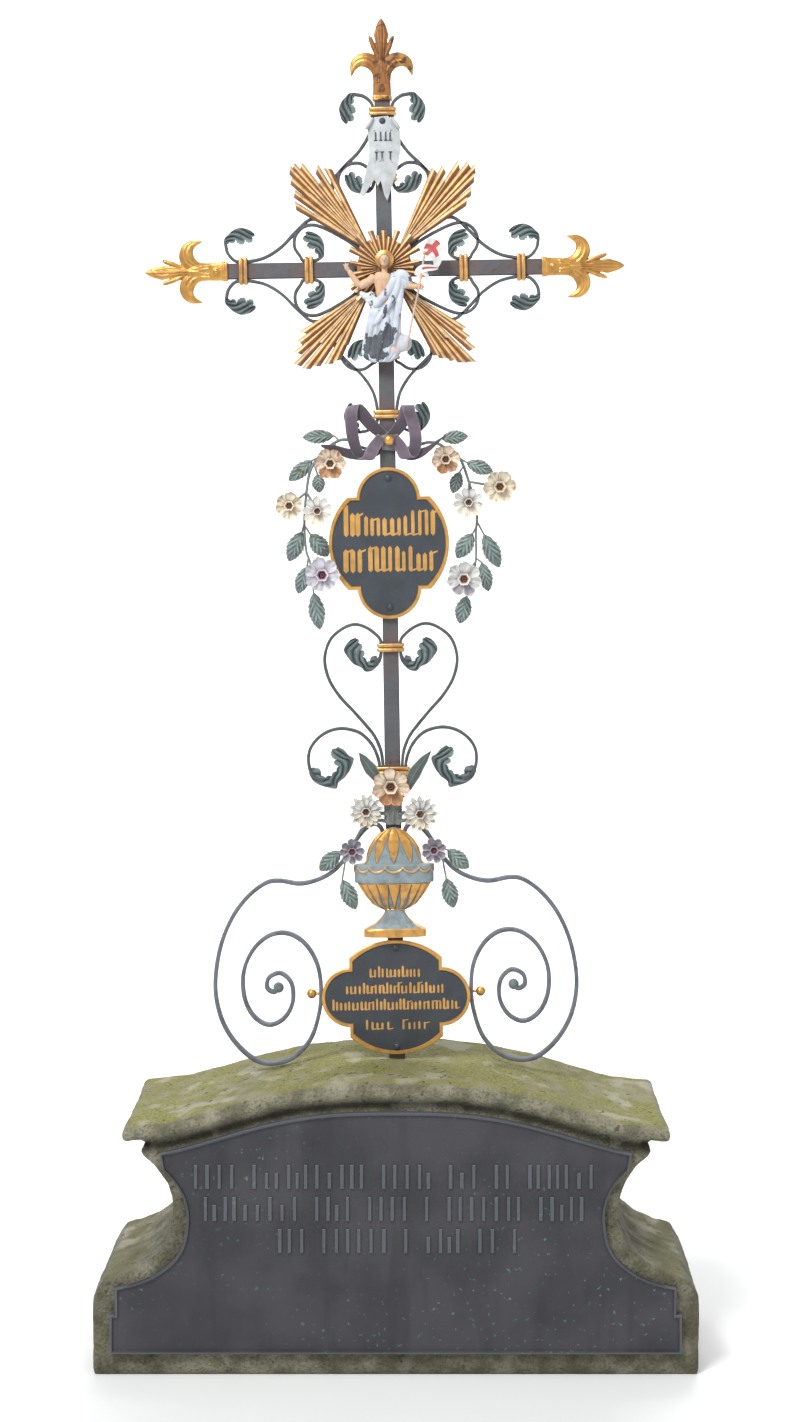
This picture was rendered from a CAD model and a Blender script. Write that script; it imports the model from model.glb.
# Looks of a wrought-iron grave cross with gilt castings, standing on a stone plinth.
# The scene is in metres. The ironwork is drawn in millimetres, across and up from the
# foot of the cross, with the front at negative depth, and CROSS puts it in place.
import math
import random

import bmesh
import bpy
import numpy as np
from mathutils import Matrix, Vector, noise


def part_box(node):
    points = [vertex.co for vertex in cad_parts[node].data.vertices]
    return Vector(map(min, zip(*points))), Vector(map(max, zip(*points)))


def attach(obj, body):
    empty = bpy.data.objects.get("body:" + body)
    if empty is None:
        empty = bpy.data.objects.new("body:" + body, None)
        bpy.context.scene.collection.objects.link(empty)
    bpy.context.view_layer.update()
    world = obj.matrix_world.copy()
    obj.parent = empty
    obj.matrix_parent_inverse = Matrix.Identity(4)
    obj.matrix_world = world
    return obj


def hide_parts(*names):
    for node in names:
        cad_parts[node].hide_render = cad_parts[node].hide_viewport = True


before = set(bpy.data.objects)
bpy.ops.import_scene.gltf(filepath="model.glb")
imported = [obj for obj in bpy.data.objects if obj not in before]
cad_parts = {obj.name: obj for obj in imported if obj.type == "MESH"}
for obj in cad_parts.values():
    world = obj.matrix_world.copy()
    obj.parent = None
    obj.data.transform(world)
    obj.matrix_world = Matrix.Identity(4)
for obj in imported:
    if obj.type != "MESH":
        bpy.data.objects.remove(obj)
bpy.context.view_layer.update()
random.seed(11)

MM = 0.001
SOCKET_DEPTH = 60.0
# Depth at which mounted pieces begin, half a millimetre in front of the bars
SEAT = -5.5


def linear(red, green, blue):
    return tuple(((c / 255 + 0.055) / 1.055) ** 2.4 for c in (red, green, blue))


SLATE = linear(56, 61, 67)
RUST = linear(74, 52, 52)
LEAF_GREY = linear(106, 120, 120)
BASE_GREY = linear(92, 97, 106)
LIGHT_GOLD = linear(252, 222, 166)
GOLD = linear(214, 162, 88)
OLD_GOLD = linear(150, 98, 46)
BOLE = linear(92, 42, 22)
PLAQUE = linear(58, 63, 69)
TITLE = linear(180, 184, 184)
TITLE_INK = linear(70, 74, 78)
SKIN = linear(206, 168, 134)
HAIR = linear(158, 122, 84)
ROBE = linear(194, 200, 210)
PEELED = linear(74, 80, 86)
RIBBON = linear(98, 86, 98)
STEM_GREEN = linear(80, 92, 88)
FOLIAGE = linear(110, 126, 122)
CREAM = linear(224, 212, 188)
ORANGE = linear(204, 116, 74)
AMBER = linear(160, 112, 60)
CORE = linear(70, 26, 22)
MAGENTA = linear(140, 52, 78)
WHITE = linear(212, 212, 208)
LILAC = linear(200, 198, 208)
MAUVE = linear(146, 138, 150)
URN_BLUE = linear(132, 148, 152)
FLAG_RED = linear(176, 62, 62)
STAFF = linear(196, 168, 146)


# Where the CAD has things

def corners(node):
    points = {tuple(round(c, 6) for c in v.co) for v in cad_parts[node].data.vertices}
    return np.array(sorted(points))


def cross_matrix():
    bar = corners("upright_bar")
    foot = bar[bar[:, 2] < bar[:, 2].min() + 2 * MM].mean(0)
    top = bar[bar[:, 2] > bar[:, 2].max() - 2 * MM].mean(0)
    up = (top - foot) / np.linalg.norm(top - foot)
    foot = foot + up * SOCKET_DEPTH * MM
    matrix = Matrix.Identity(4)
    for row, (right, back) in enumerate(zip((up[2], 0, -up[0]), (0, 1, 0))):
        matrix[row] = (right * MM, back * MM, up[row] * MM, foot[row])
    return matrix


CROSS = cross_matrix()
CROSS_INVERSE = CROSS.inverted()


def span(node):
    local = np.array([CROSS_INVERSE @ Vector(p) for p in corners(node)])
    return local.min(0), local.max(0)


def middle(node):
    low, high = span(node)
    return (low + high) / 2


def placed(name, data):
    """A new object, linked into the scene."""
    obj = bpy.data.objects.new(name, data)
    bpy.context.scene.collection.objects.link(obj)
    return obj


# Mixtures, grids and outlines

def blend(a, b, share):
    """Colours or places between a and b: b where share is 1."""
    return np.asarray(a) * (1 - share) + np.asarray(b) * share


def band(place, centre, width):
    """1 at the centre, fading to 0 over about twice the width."""
    return np.exp(-((place - centre) / width) ** 2)


def grid(x, y, z):
    """Points from three coordinates, each an array or one number."""
    return np.stack(np.broadcast_arrays(x, y, z), axis=-1)


def oval(x, z, half_wide, half_tall, count):
    turns = np.linspace(0, 2 * math.pi, count, endpoint=False)
    return np.stack([x + half_wide * np.cos(turns), z + half_tall * np.sin(turns)], axis=1)


def rectangle(left, right, low, high):
    return [(left, low), (right, low), (right, high), (left, high)]


def read(items, key, width, kind=float):
    """One property of all vertices or edges, a row for each."""
    values = np.empty(len(items) * width, kind)
    items.foreach_get(key, values)
    return values.reshape(-1, width)


# Shapes

class Shape:
    """Closed shells of one piece: points, faces, and the paint and gilding of each point."""

    def __init__(self):
        self.points = np.zeros((0, 3))
        self.faces = []
        self.paint = np.zeros((0, 3))
        self.gild = np.zeros(0)

    def add(self, points, faces, paint=SLATE, gild=0.0):
        points = np.asarray(points, float).reshape(-1, 3)
        start = len(self.points)
        self.points = np.vstack([self.points, points])
        self.faces += [tuple(start + i for i in face) for face in faces]
        paint = np.asarray(paint, float).reshape(-1, 3)
        gild = np.asarray(gild, float).reshape(-1)
        self.paint = np.vstack([self.paint, np.broadcast_to(paint, points.shape)])
        self.gild = np.concatenate([self.gild, np.broadcast_to(gild, len(points))])

    def join(self, other):
        self.add(other.points, other.faces, other.paint, other.gild)


def loft(shape, rings, paint=SLATE, gild=0.0, looped=False):
    """Skin over rings of equally many points, closed at both ends unless looped."""
    rings = np.asarray(rings, float)
    count, around = rings.shape[:2]
    faces = []
    for i in range(count if looped else count - 1):
        a = i * around
        b = (i + 1) % count * around
        for j in range(around):
            k = (j + 1) % around
            faces.append((a + j, a + k, b + k, b + j))
    if not looped:
        faces.append(tuple(range(around))[::-1])
        faces.append(tuple(range((count - 1) * around, count * around)))
    paint = np.broadcast_to(paint, rings.shape)
    shape.add(rings, faces, paint, np.broadcast_to(gild, rings.shape[:2]))


def shell(shape, front, back, paint=SLATE, gild=0.0):
    """Sheet between a front and a back grid of points."""
    front, back = np.asarray(front, float), np.asarray(back, float)
    paint = np.broadcast_to(paint, front.shape)
    gild = np.broadcast_to(gild, front.shape[:2])
    rings = np.concatenate([front, back[:, ::-1]], axis=1)
    loft(shape, rings, np.concatenate([paint, paint[:, ::-1]], axis=1),
         np.concatenate([gild, gild[:, ::-1]], axis=1))


def sheet(shape, x, z, front, rear, paint=SLATE):
    """Sheet over a plan of x and z, between two depths."""
    shell(shape, grid(x, front, z), grid(x, rear, z), paint)


def spline(points, count):
    """Smooth curve through the points, as count points."""
    p = np.asarray(points, float)
    p = np.vstack([2 * p[0] - p[1], p, 2 * p[-1] - p[-2]])
    place = np.linspace(0, len(p) - 3, count)
    i = np.minimum(place.astype(int), len(p) - 4)
    t = (place - i)[:, None]
    a, b, c, d = p[i], p[i + 1], p[i + 2], p[i + 3]
    return 0.5 * (2 * b + (c - a) * t + (2 * a - 5 * b + 4 * c - d) * t**2 + (3 * b - a - 3 * c + d) * t**3)


def run_through(points, step):
    length = np.linalg.norm(np.diff(np.asarray(points, float), axis=0), axis=1).sum()
    return spline(points, max(4, int(length / step)))


def rounded(width, depth, sides=12, power=4.0):
    """Rectangle with rounded corners, or an ellipse where power is 2."""
    angle = (np.arange(sides) + 0.5) * 2 * math.pi / sides
    c, s = np.cos(angle), np.sin(angle)
    x = width / 2 * np.sign(c) * np.abs(c) ** (2 / power)
    y = depth / 2 * np.sign(s) * np.abs(s) ** (2 / power)
    return np.stack([x, y], axis=1)


ROUND = rounded(2, 2, 12, 2.0)


def sweep(shape, path, section, size=1.0, shift=0.0, lead=(0, 1, 0), paint=SLATE, gild=0.0):
    """Carries a section of (across, thick) along a path; lead is where its thickness points first."""
    path = np.asarray(path, float)
    ahead = np.gradient(path, axis=0)
    ahead /= np.linalg.norm(ahead, axis=1)[:, None]
    size = np.asarray(size, float)
    sizes = np.broadcast_to(size[:, None] if size.ndim == 1 else size, (len(path), 2))
    shifts = np.broadcast_to(shift, len(path))
    normal = np.array(lead, float)
    rings = []
    for point, along, scale, aside in zip(path, ahead, sizes, shifts):
        normal = normal - along * normal.dot(along)
        normal /= np.linalg.norm(normal)
        across = np.cross(along, normal)
        offsets = np.outer(section[:, 0] * scale[0] + aside, across)
        rings.append(point + offsets + np.outer(section[:, 1] * scale[1], normal))
    loft(shape, rings, paint, gild)


def limb(shape, points, radii, paint=SLATE, gild=0.0, flat=1.0, step=2.0):
    """Round rod through points, with rounded ends; flat below 1 makes it thinner front to back."""
    path = run_through(points, step)
    radius = np.interp(np.linspace(0, 1, len(path)), np.linspace(0, 1, len(radii)), radii)
    radius[[0, -1]] *= 0.55
    size = np.stack([radius, radius * flat], axis=1)
    sweep(shape, path, ROUND, size, lead=(0.02, 1, 0.05), paint=paint, gild=gild)


def blob(shape, centre, radii, paint=SLATE, gild=0.0, rings=12, around=16):
    tilt = np.linspace(0.12, math.pi - 0.12, rings)[:, None]
    turn = np.arange(around) * 2 * math.pi / around
    ball = grid(np.sin(tilt) * np.cos(turn), np.sin(tilt) * np.sin(turn), np.cos(tilt))
    loft(shape, np.asarray(centre) + ball * np.asarray(radii), paint, gild)


def flat_to_space(outline, depth):
    outline = np.asarray(outline, float)
    return grid(outline[:, 0], depth, outline[:, 1])


def slab(shape, outline, front, back, paint=SLATE, gild=0.0, edge=0.4):
    """Flat plate of an outline in X and Z with softened edges."""
    outline = np.asarray(outline, float)
    centre = outline.mean(0)
    furthest = np.abs(outline - centre).max()
    inner = centre + (outline - centre) * (1 - edge / furthest)
    rings = [flat_to_space(inner, front), flat_to_space(outline, front + edge),
             flat_to_space(outline, back - edge), flat_to_space(inner, back)]
    loft(shape, rings, paint, gild)


def to_mesh(shape):
    mesh = bpy.data.meshes.new("draft")
    mesh.from_pydata(shape.points.tolist(), [], shape.faces)
    bm = bmesh.new()
    bm.from_mesh(mesh)
    bmesh.ops.recalc_face_normals(bm, faces=bm.faces)
    bm.to_mesh(mesh)
    bm.free()
    return mesh


def from_mesh(mesh, paint, gild=0.0):
    shape = Shape()
    shape.add(read(mesh.vertices, "co", 3), [tuple(p.vertices) for p in mesh.polygons], paint, gild)
    return shape


def modified(mesh, *modifiers):
    """The mesh after some modifiers, each a kind and its settings."""
    holder = placed("draft", mesh)
    for kind, settings in modifiers:
        modifier = holder.modifiers.new(kind, kind)
        for key, value in settings.items():
            setattr(modifier, key, value)
    done = bpy.data.meshes.new_from_object(holder.evaluated_get(bpy.context.evaluated_depsgraph_get()))
    bpy.data.objects.remove(holder)
    return done


def melted(mesh, voxel, rounds):
    """The mesh as one skin of even cells, smoothed some rounds."""
    return modified(mesh, ("REMESH", {"mode": "VOXEL", "voxel_size": voxel}),
                    ("SMOOTH", {"factor": 0.5, "iterations": rounds}))


def cast(shape, voxel, paint, gild=0.0, rounds=2):
    """Melts a shape's shells into one skin, as a casting."""
    return from_mesh(melted(to_mesh(shape), voxel, rounds), paint, gild)


def cut_across(bm, axis, places):
    """Cuts faces along planes across an axis, so that they can bend or carry paint."""
    normal = (1, 0, 0) if axis == 0 else (0, 0, 1)
    for place in places:
        parts = bm.verts[:] + bm.edges[:] + bm.faces[:]
        bmesh.ops.bisect_plane(bm, geom=parts, plane_co=[place * n for n in normal], plane_no=normal)


def panel(outline, cell, thickness, warp, paint=SLATE):
    """Thin sheet of an outline, cut into cells and bent by warp(x, z), which gives its depth."""
    bm = bmesh.new()
    bm.faces.new([bm.verts.new((x, 0, z)) for x, z in outline])
    low, high = np.min(outline, axis=0), np.max(outline, axis=0)
    cut_across(bm, 0, np.arange(low[0] + cell / 2, high[0], cell))
    cut_across(bm, 2, np.arange(low[1] + cell / 2, high[1], cell))
    for v in bm.verts:
        v.co.y = warp(v.co.x, v.co.z)
    mesh = bpy.data.meshes.new("draft")
    bm.to_mesh(mesh)
    bm.free()
    return from_mesh(modified(mesh, ("SOLIDIFY", {"thickness": thickness, "offset": 0.0})), paint)


def hollows(mesh, spread):
    """How hollow the surface is at each point: above 0 in grooves, below 0 on ridges."""
    count = len(mesh.vertices)
    points, normals = read(mesh.vertices, "co", 3), read(mesh.vertices, "normal", 3)
    a, b = read(mesh.edges, "vertices", 2, int).T
    gap = points[b] - points[a]
    length = np.linalg.norm(gap, axis=1) + 1e-9
    rise = np.bincount(a, (gap * normals[a]).sum(1) / length, count)
    rise += np.bincount(b, -(gap * normals[b]).sum(1) / length, count)
    links = np.maximum(np.bincount(a, minlength=count) + np.bincount(b, minlength=count), 1)
    value = rise / links
    for _ in range(spread):
        around = np.bincount(a, value[b], count) + np.bincount(b, value[a], count)
        value = (value + around / links) / 2
    return value


def piece(name, shape, slot, place=CROSS, sharp=38.0, spread=1):
    """Makes a shape visible in place of the CAD node of its name."""
    mesh = to_mesh(shape)
    mesh.name = name
    mesh.transform(place)
    mesh.shade_smooth()
    mesh.set_sharp_from_angle(angle=math.radians(sharp))
    paint = np.column_stack([shape.paint, np.ones(len(shape.points))])
    mesh.color_attributes.new("paint", "FLOAT_COLOR", "POINT").data.foreach_set("color", paint.ravel())
    for layer, values in (("gild", shape.gild), ("hollow", hollows(mesh, spread))):
        mesh.attributes.new(layer, "FLOAT", "POINT").data.foreach_set("value", values)
    obj = placed(name + "_dressed", mesh)
    mesh.materials.append(MATERIALS[slot])
    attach(obj, "root")
    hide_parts(name)


# Materials

class Coat:
    """A material under construction, with short calls for its nodes."""

    def __init__(self, name):
        self.material = bpy.data.materials.new(name)
        self.material.use_nodes = True
        self.tree = self.material.node_tree
        self.shader = self.tree.nodes["Principled BSDF"]
        self.places = self.node("TexCoord", out="Object")

    def plug(self, value, socket):
        if isinstance(value, bpy.types.NodeSocket):
            self.tree.links.new(value, socket)
        elif isinstance(value, tuple) and len(value) == 3 and socket.type == "RGBA":
            socket.default_value = (*value, 1.0)
        else:
            socket.default_value = value

    def node(self, kind, out=0, settings=(), inputs=()):
        node = self.tree.nodes.new("ShaderNode" + kind)
        for key, value in dict(settings).items():
            setattr(node, key, value)
        for key, value in dict(inputs).items():
            self.plug(value, node.inputs[key])
        return node.outputs[out]

    def layer(self, name, out="Fac"):
        return self.node("Attribute", out, {"attribute_name": name})

    def noise(self, scale, detail=4.0, stretch=None):
        where = self.places
        if stretch:
            where = self.node("Mapping", inputs={"Vector": where, "Scale": stretch})
        return self.node("TexNoise", inputs={"Vector": where, "Scale": scale, "Detail": detail})

    def between(self, value, low, high, least=0.0, most=1.0):
        """Carries value from low..high to least..most, and no further."""
        return self.node("MapRange", settings={"interpolation_type": "SMOOTHSTEP"},
                         inputs={0: value, 1: low, 2: high, 3: least, 4: most})

    def maths(self, operation, a, b):
        return self.node("Math", settings={"operation": operation}, inputs={0: a, 1: b})

    def times(self, a, b):
        return self.maths("MULTIPLY", a, b)

    def plus(self, a, b):
        return self.maths("ADD", a, b)

    def upward(self, vector):
        return self.node("SeparateXYZ", 2, inputs={0: vector})

    def mix(self, share, a, b, way="MIX"):
        return self.node("Mix", 2, {"data_type": "RGBA", "blend_type": way}, {0: share, 6: a, 7: b})

    def fade(self, share, a, b):
        return self.node("Mix", 0, {"data_type": "FLOAT"}, {0: share, 2: a, 3: b})

    def finish(self, colour, roughness, metallic=0.0, height=None, distance=0.0004):
        self.plug(colour, self.shader.inputs["Base Color"])
        self.plug(roughness, self.shader.inputs["Roughness"])
        self.plug(metallic, self.shader.inputs["Metallic"])
        if height is not None:
            bump = self.node("Bump", inputs={"Strength": 0.6, "Distance": distance, "Height": height})
            self.plug(bump, self.shader.inputs["Normal"])
        return self.material


GILT_ROUGHNESS = 0.38


def painted(name, roughness, dirt, dirt_share, wear=None, wear_from=0.64, bright=0.0, grain=0.0004):
    """Paint and gilding taken from the piece's own layers, with dirt in its grooves and worn places."""
    coat = Coat(name)
    paint = coat.layer("paint", "Color")
    gild = coat.layer("gild")
    hollow = coat.layer("hollow")
    patches = coat.noise(28.0, 6.0)
    fine = coat.noise(420.0, 3.0)
    shade = coat.between(patches, 0.3, 0.7, 0.84, 1.1)
    shade = coat.node("CombineColor", inputs={0: shade, 1: shade, 2: shade})
    colour = coat.mix(1.0, paint, shade, "MULTIPLY")
    if bright:
        ridge = coat.between(hollow, -0.22, -0.03, bright, 0.0)
        colour = coat.mix(ridge, colour, (0.9, 0.88, 0.82), "SCREEN")
    groove = coat.between(hollow, 0.015, 0.14)
    blotch = coat.between(coat.noise(90.0, 5.0), 0.42, 0.7, 0.0, 0.5)
    grime = coat.times(coat.maths("MAXIMUM", groove, blotch), dirt_share)
    colour = coat.mix(grime, colour, dirt)
    if wear:
        worn = coat.between(coat.noise(55.0, 8.0), wear_from, wear_from + 0.04)
        colour = coat.mix(worn, colour, wear)
        gild = coat.times(gild, coat.maths("SUBTRACT", 1.0, worn))
    metal = coat.times(gild, coat.fade(grime, 0.85, 0.2))
    uneven = coat.between(fine, 0.3, 0.7, -0.06, 0.1)
    rough = coat.plus(coat.fade(gild, roughness, GILT_ROUGHNESS), uneven)
    height = coat.plus(fine, coat.times(patches, 1.5))
    return coat.finish(colour, rough, metal, height, grain)


def stone():
    """Weathered limestone: moss on level places, lichen, and stains low down and in the waist."""
    coat = Coat("stone")
    broad, medium, fine = coat.noise(5.0, 6.0), coat.noise(30.0, 9.0), coat.noise(260.0, 6.0)
    height = coat.upward(coat.places)
    level = coat.upward(coat.node("NewGeometry", "Normal"))
    colour = coat.mix(coat.between(medium, 0.35, 0.65), linear(150, 146, 124), linear(112, 108, 88))
    colour = coat.mix(coat.between(fine, 0.45, 0.7, 0.0, 0.55), colour, linear(66, 63, 48))
    low = coat.plus(height, coat.between(broad, 0.3, 0.7, -0.1, 0.1))
    damp = coat.between(low, 0.05, 0.36, 0.75, 0.15)
    stains = coat.between(coat.plus(broad, coat.times(medium, 0.4)), 0.5, 0.85, 0.35, 1.0)
    colour = coat.mix(coat.times(damp, stains), colour, linear(64, 64, 46))
    # The stone has no gilding, so its gild layer says where the waist and the recess are dark.
    colour = coat.mix(coat.times(coat.layer("gild"), 0.85), colour, linear(36, 36, 24))
    top = coat.between(level, 0.8, 0.97)
    growth = coat.between(coat.plus(broad, coat.times(medium, 1.1)), 0.82, 1.16)
    moss = coat.mix(coat.between(fine, 0.4, 0.62), linear(112, 112, 54), linear(146, 142, 82))
    high_up = coat.between(height, 0.2, 0.4, 0.3, 1.0)
    cover = coat.times(coat.fade(growth, 0.25, 0.85), high_up)
    colour = coat.mix(coat.times(top, cover), colour, moss)
    lichen = coat.between(coat.noise(16.0, 10.0), 0.54, 0.64, 0.0, 0.8)
    lichen = coat.times(lichen, coat.fade(top, 0.3, 0.75))
    colour = coat.mix(lichen, colour, linear(168, 164, 148))
    spots = coat.between(coat.noise(75.0, 4.0), 0.64, 0.69, 0.0, 0.7)
    colour = coat.mix(spots, colour, linear(58, 56, 38))
    pits = coat.between(fine, 0.3, 0.75)
    relief = coat.plus(coat.times(medium, 2.0), pits)
    return coat.finish(colour, 0.95, 0.0, relief, 0.004)


def bronze():
    """Dark cast bronze with verdigris specks, worn edges and a dusty bloom low down."""
    coat = Coat("bronze")
    broad, fine = coat.noise(9.0, 7.0), coat.noise(330.0, 4.0)
    colour = coat.mix(coat.between(broad, 0.35, 0.65), linear(56, 56, 61), linear(72, 71, 76))
    growth = coat.between(coat.noise(4.0, 3.0), 0.38, 0.6, 0.1, 0.8)
    specks = coat.between(coat.noise(130.0, 6.0), 0.63, 0.7)
    colour = coat.mix(coat.times(specks, growth), colour, linear(98, 128, 120))
    streaks = coat.between(coat.noise(26.0, 5.0, (1.0, 1.0, 0.16)), 0.5, 0.72, 0.0, 0.35)
    colour = coat.mix(streaks, colour, linear(44, 44, 45))
    edge = coat.between(coat.layer("hollow"), -0.3, -0.08, 0.45, 0.0)
    colour = coat.mix(edge, colour, linear(112, 118, 122))
    rough = coat.between(broad, 0.3, 0.7, 0.55, 0.72)
    return coat.finish(colour, rough, 0.3, coat.plus(fine, broad), 0.0006)


DARK = linear(44, 46, 48)
GREEN_DIRT = linear(62, 70, 64)
BROWN_DIRT = linear(92, 62, 42)
MATERIALS = {
    "stone": stone(),
    "bronze": bronze(),
    "bars": painted("bars", 0.62, DARK, 0.35, linear(84, 64, 60), 0.68, 0.05, 0.0006),
    "scrollwork": painted(
        "scrollwork", 0.62, linear(38, 44, 46), 0.8, linear(84, 74, 70), 0.72, 0.05, 0.0005),
    "gilding": painted("gilding", 0.5, BOLE, 0.8, linear(150, 92, 48), 0.7, 0.1, 0.0004),
    "old_gilding": painted(
        "old_gilding", 0.6, linear(58, 36, 20), 0.9, linear(84, 54, 28), 0.56, 0.1, 0.0006),
    "title": painted("title", 0.6, linear(120, 124, 126), 0.5, linear(140, 140, 138), 0.68),
    "figure": painted("figure", 0.6, linear(120, 120, 124), 0.5, PEELED, 0.74),
    "banner": painted("banner", 0.6, linear(140, 130, 126), 0.5, linear(130, 126, 124), 0.72),
    "plaques": painted("plaques", 0.5, linear(54, 58, 62), 0.4, None, 0.0, 0.0, 0.0003),
    "ribbon": painted("ribbon", 0.55, linear(66, 56, 62), 0.7, linear(92, 66, 62), 0.66, 0.15),
    "foliage": painted("foliage", 0.65, GREEN_DIRT, 0.8, linear(100, 84, 66), 0.66, 0.22),
    "cream_flowers": painted("cream_flowers", 0.6, BROWN_DIRT, 0.6, linear(150, 110, 76), 0.66, 0.1),
    "pale_flowers": painted("pale_flowers", 0.6, linear(104, 98, 96), 0.6, linear(140, 120, 104), 0.68, 0.1),
    "urn": painted("urn", 0.55, BROWN_DIRT, 0.75, linear(104, 96, 84), 0.68, 0.12),
}


# Scroll work. An arm's outline is drawn along the arm from the crossing and out from its axis.

CROSSING = middle("cross_bar")[2]
BAR_HALF = (span("cross_bar")[1][2] - span("cross_bar")[0][2]) / 2
STEM_WIDE = 5.0
STEM_DEEP = 12.0
STEM_LINE = BAR_HALF + 0.5 + STEM_WIDE / 2
GRIP_HALF = 8.8
RING_RADIUS = 28.5

ARMS = {
    "left": (lambda u, v: (-u, CROSSING + v), -1),
    "right": (lambda u, v: (u, CROSSING + v), 1),
    "top": (lambda u, v: (v, CROSSING + u), -1),
    "lower": (lambda u, v: (v, CROSSING - u), 1),
}
SIDEWAYS = ("left", "right")


def reach(arm, which):
    centre = middle(f"collar_{arm}_{which}")
    return abs(centre[0]) if arm in SIDEWAYS else abs(centre[2] - CROSSING)


def outer_run(far):
    crest = 112 + 0.9 * (far - 230)
    fall = (far - crest) / 118
    rise = [(27, 22), (60, 53), (96, 77.5)]
    drop = [(-118, 81.5), (-104, 79), (-84, 61), (-62, 38.5), (-36, 22)]
    curl = [(18, 20.5), (25.5, 31), (28, 43)]
    run = [(u + (crest - 112) * max(0, (u - 45) / 67), v) for u, v in rise]
    run += [(far + u * fall, v) for u, v in drop]
    run += [(far - GRIP_HALF, STEM_LINE), (far + GRIP_HALF, STEM_LINE)]
    return run + [(far + u, v) for u, v in curl]


def inner_run(near):
    centre = near - 5
    rise = [(34, 27), (60, 47), (96, 67)]
    run = [(u + (centre - 116) * max(0, (u - 45) / 71), v) for u, v in rise]
    for degrees in (90, 55, 20, -15, -48):
        angle = math.radians(degrees)
        rim = STEM_LINE + RING_RADIUS
        run.append((centre + RING_RADIUS * math.cos(angle), rim + RING_RADIUS * math.sin(angle)))
    run += [(near + GRIP_HALF, STEM_LINE), (near - GRIP_HALF, STEM_LINE)]
    return run + [(near - GRIP_HALF - 8, STEM_LINE + 3)]


# Edges of a scroll's end leaf, along its stem and across, before scaling
LEAF_BACK = [(0, 0), (5.5, 1.6), (9, 6), (12, 11), (13.5, 17), (12.8, 21.5), (10.5, 26.5), (8.5, 29), (5, 32)]
LEAF_LOBES = [(0, 3), (1.5, 6), (-0.5, 10), (3.2, 12.2), (-4, 19), (1.2, 21.2), (-3.5, 27.5), (2.2, 29),
              (3.5, 32.5)]


def scalloped(points, count, bulge):
    """Edge whose stretches between notches and tips bow outwards."""
    p = np.asarray(points, float)
    place = np.linspace(0, len(p) - 1, count)
    i = np.minimum(place.astype(int), len(p) - 2)
    t = (place - i)[:, None]
    step = p[i + 1] - p[i]
    out = np.stack([-step[:, 1], step[:, 0]], axis=1)
    teeth = 1 + 0.35 * np.cos(6 * math.pi * t)
    return p[i] + step * t + out * np.sin(math.pi * t) * bulge * teeth


def leaf_edges(root, along, side, scale, turn):
    """Back and lobed edge of a scroll's end leaf."""
    angle = math.radians(side * turn)
    c, s = math.cos(angle), math.sin(angle)
    along = np.array([along[0] * c - along[1] * s, along[0] * s + along[1] * c])
    across = np.array([-along[1], along[0]]) * side
    start = np.asarray(root) - across * STEM_WIDE / 2
    return [[start + scale * (a * along + b * across) for a, b in edge] for edge in (LEAF_BACK, LEAF_LOBES)]


def acanthus(shape, back, lobes, side):
    """Cupped leaf whose ribs run up from the root to the lobes; its back edge is smooth."""
    stations, columns = 72, 16
    last = len(lobes) - 1
    k = np.linspace(0, last, stations)[:, None]
    w = np.linspace(0, 1, columns)[None, :]
    smooth, lobed = spline(back, stations), scalloped(lobes, stations, 0.2 * side)
    window = 19
    average = np.full(window, 1 / window)
    padded = np.pad(lobed, ((window // 2, window // 2), (0, 0)), mode="edge")
    soft = np.stack([np.convolve(line, average, "valid") for line in padded.T], axis=1)
    share = w[..., None]
    plan = blend(smooth[:, None], soft[:, None], share) + (lobed - soft)[:, None] * share**4
    swell = np.minimum(k / 1.5, 1) * np.minimum((last - k) / 0.8, 1)
    phase = k + 4.6 * (1 - w) ** 1.1
    rib = np.cos(math.pi * phase) + 0.25 * np.cos(3 * math.pi * phase)
    hump = np.sin(math.pi * np.clip(w * 0.82 + 0.12, 0, 1))
    front = -5.5 + 3.0 * w * (1 - w) + 1.6 * w - 2.6 * w**4 * swell - 1.5 * rib * hump * swell
    rear = front + 2.2 + 9.0 * (1 - w) ** 3
    light = 0.52 + 0.6 * w**1.5 * swell + 0.24 * rib * hump * swell
    paint = np.array(LEAF_GREY) * np.clip(light, 0.45, 1.5)[..., None]
    sheet(shape, plan[..., 0], plan[..., 1], front, rear, paint)


def scroll(shape, points, leaf=None, edges=None, side=1, growth=0.0, wide=STEM_WIDE, paint=SLATE):
    """Flat bar on edge along a run. It ends in a leaf of a given side, scale and turn, or of given edges."""
    run = run_through(points, 2.5)
    share = np.linspace(0, 1, len(run))
    wave = 1 + 0.03 * np.sin(share * 61) + 0.02 * np.sin(share * 147)
    swell = growth * np.clip((share - 0.86) / 0.14, 0, 1) ** 1.5
    if leaf:
        along = run[-1] - run[-2]
        edges = leaf_edges(run[-1], along / np.linalg.norm(along), *leaf)
        side = leaf[0]
    if edges:
        acanthus(shape, *edges, side)
    size = np.stack([(wide + swell) / wide * wave, np.ones(len(run))], axis=1)
    section = rounded(wide, STEM_DEEP, 12, 5.0)
    sweep(shape, flat_to_space(run, 0), section, size, side * swell / 2, paint=paint)


def arm_scrolls():
    names = {("left", 1): "left_upper", ("left", -1): "left_lower", ("right", 1): "right_upper",
             ("right", -1): "right_lower", ("top", -1): "top_left", ("top", 1): "top_right",
             ("lower", -1): "lower_left", ("lower", 1): "lower_right"}
    for (arm, sign), name in names.items():
        place, hand = ARMS[arm]
        shape = Shape()
        hand *= sign
        for run, side, scale, turn in ((outer_run(reach(arm, "outer")), hand, 1.6, 0),
                                       (inner_run(reach(arm, "inner")), -hand, 1.55, 10)):
            scroll(shape, [place(u, sign * v) for u, v in run], (side, scale, turn))
        piece(f"scroll_{name}", shape, "scrollwork")


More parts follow.
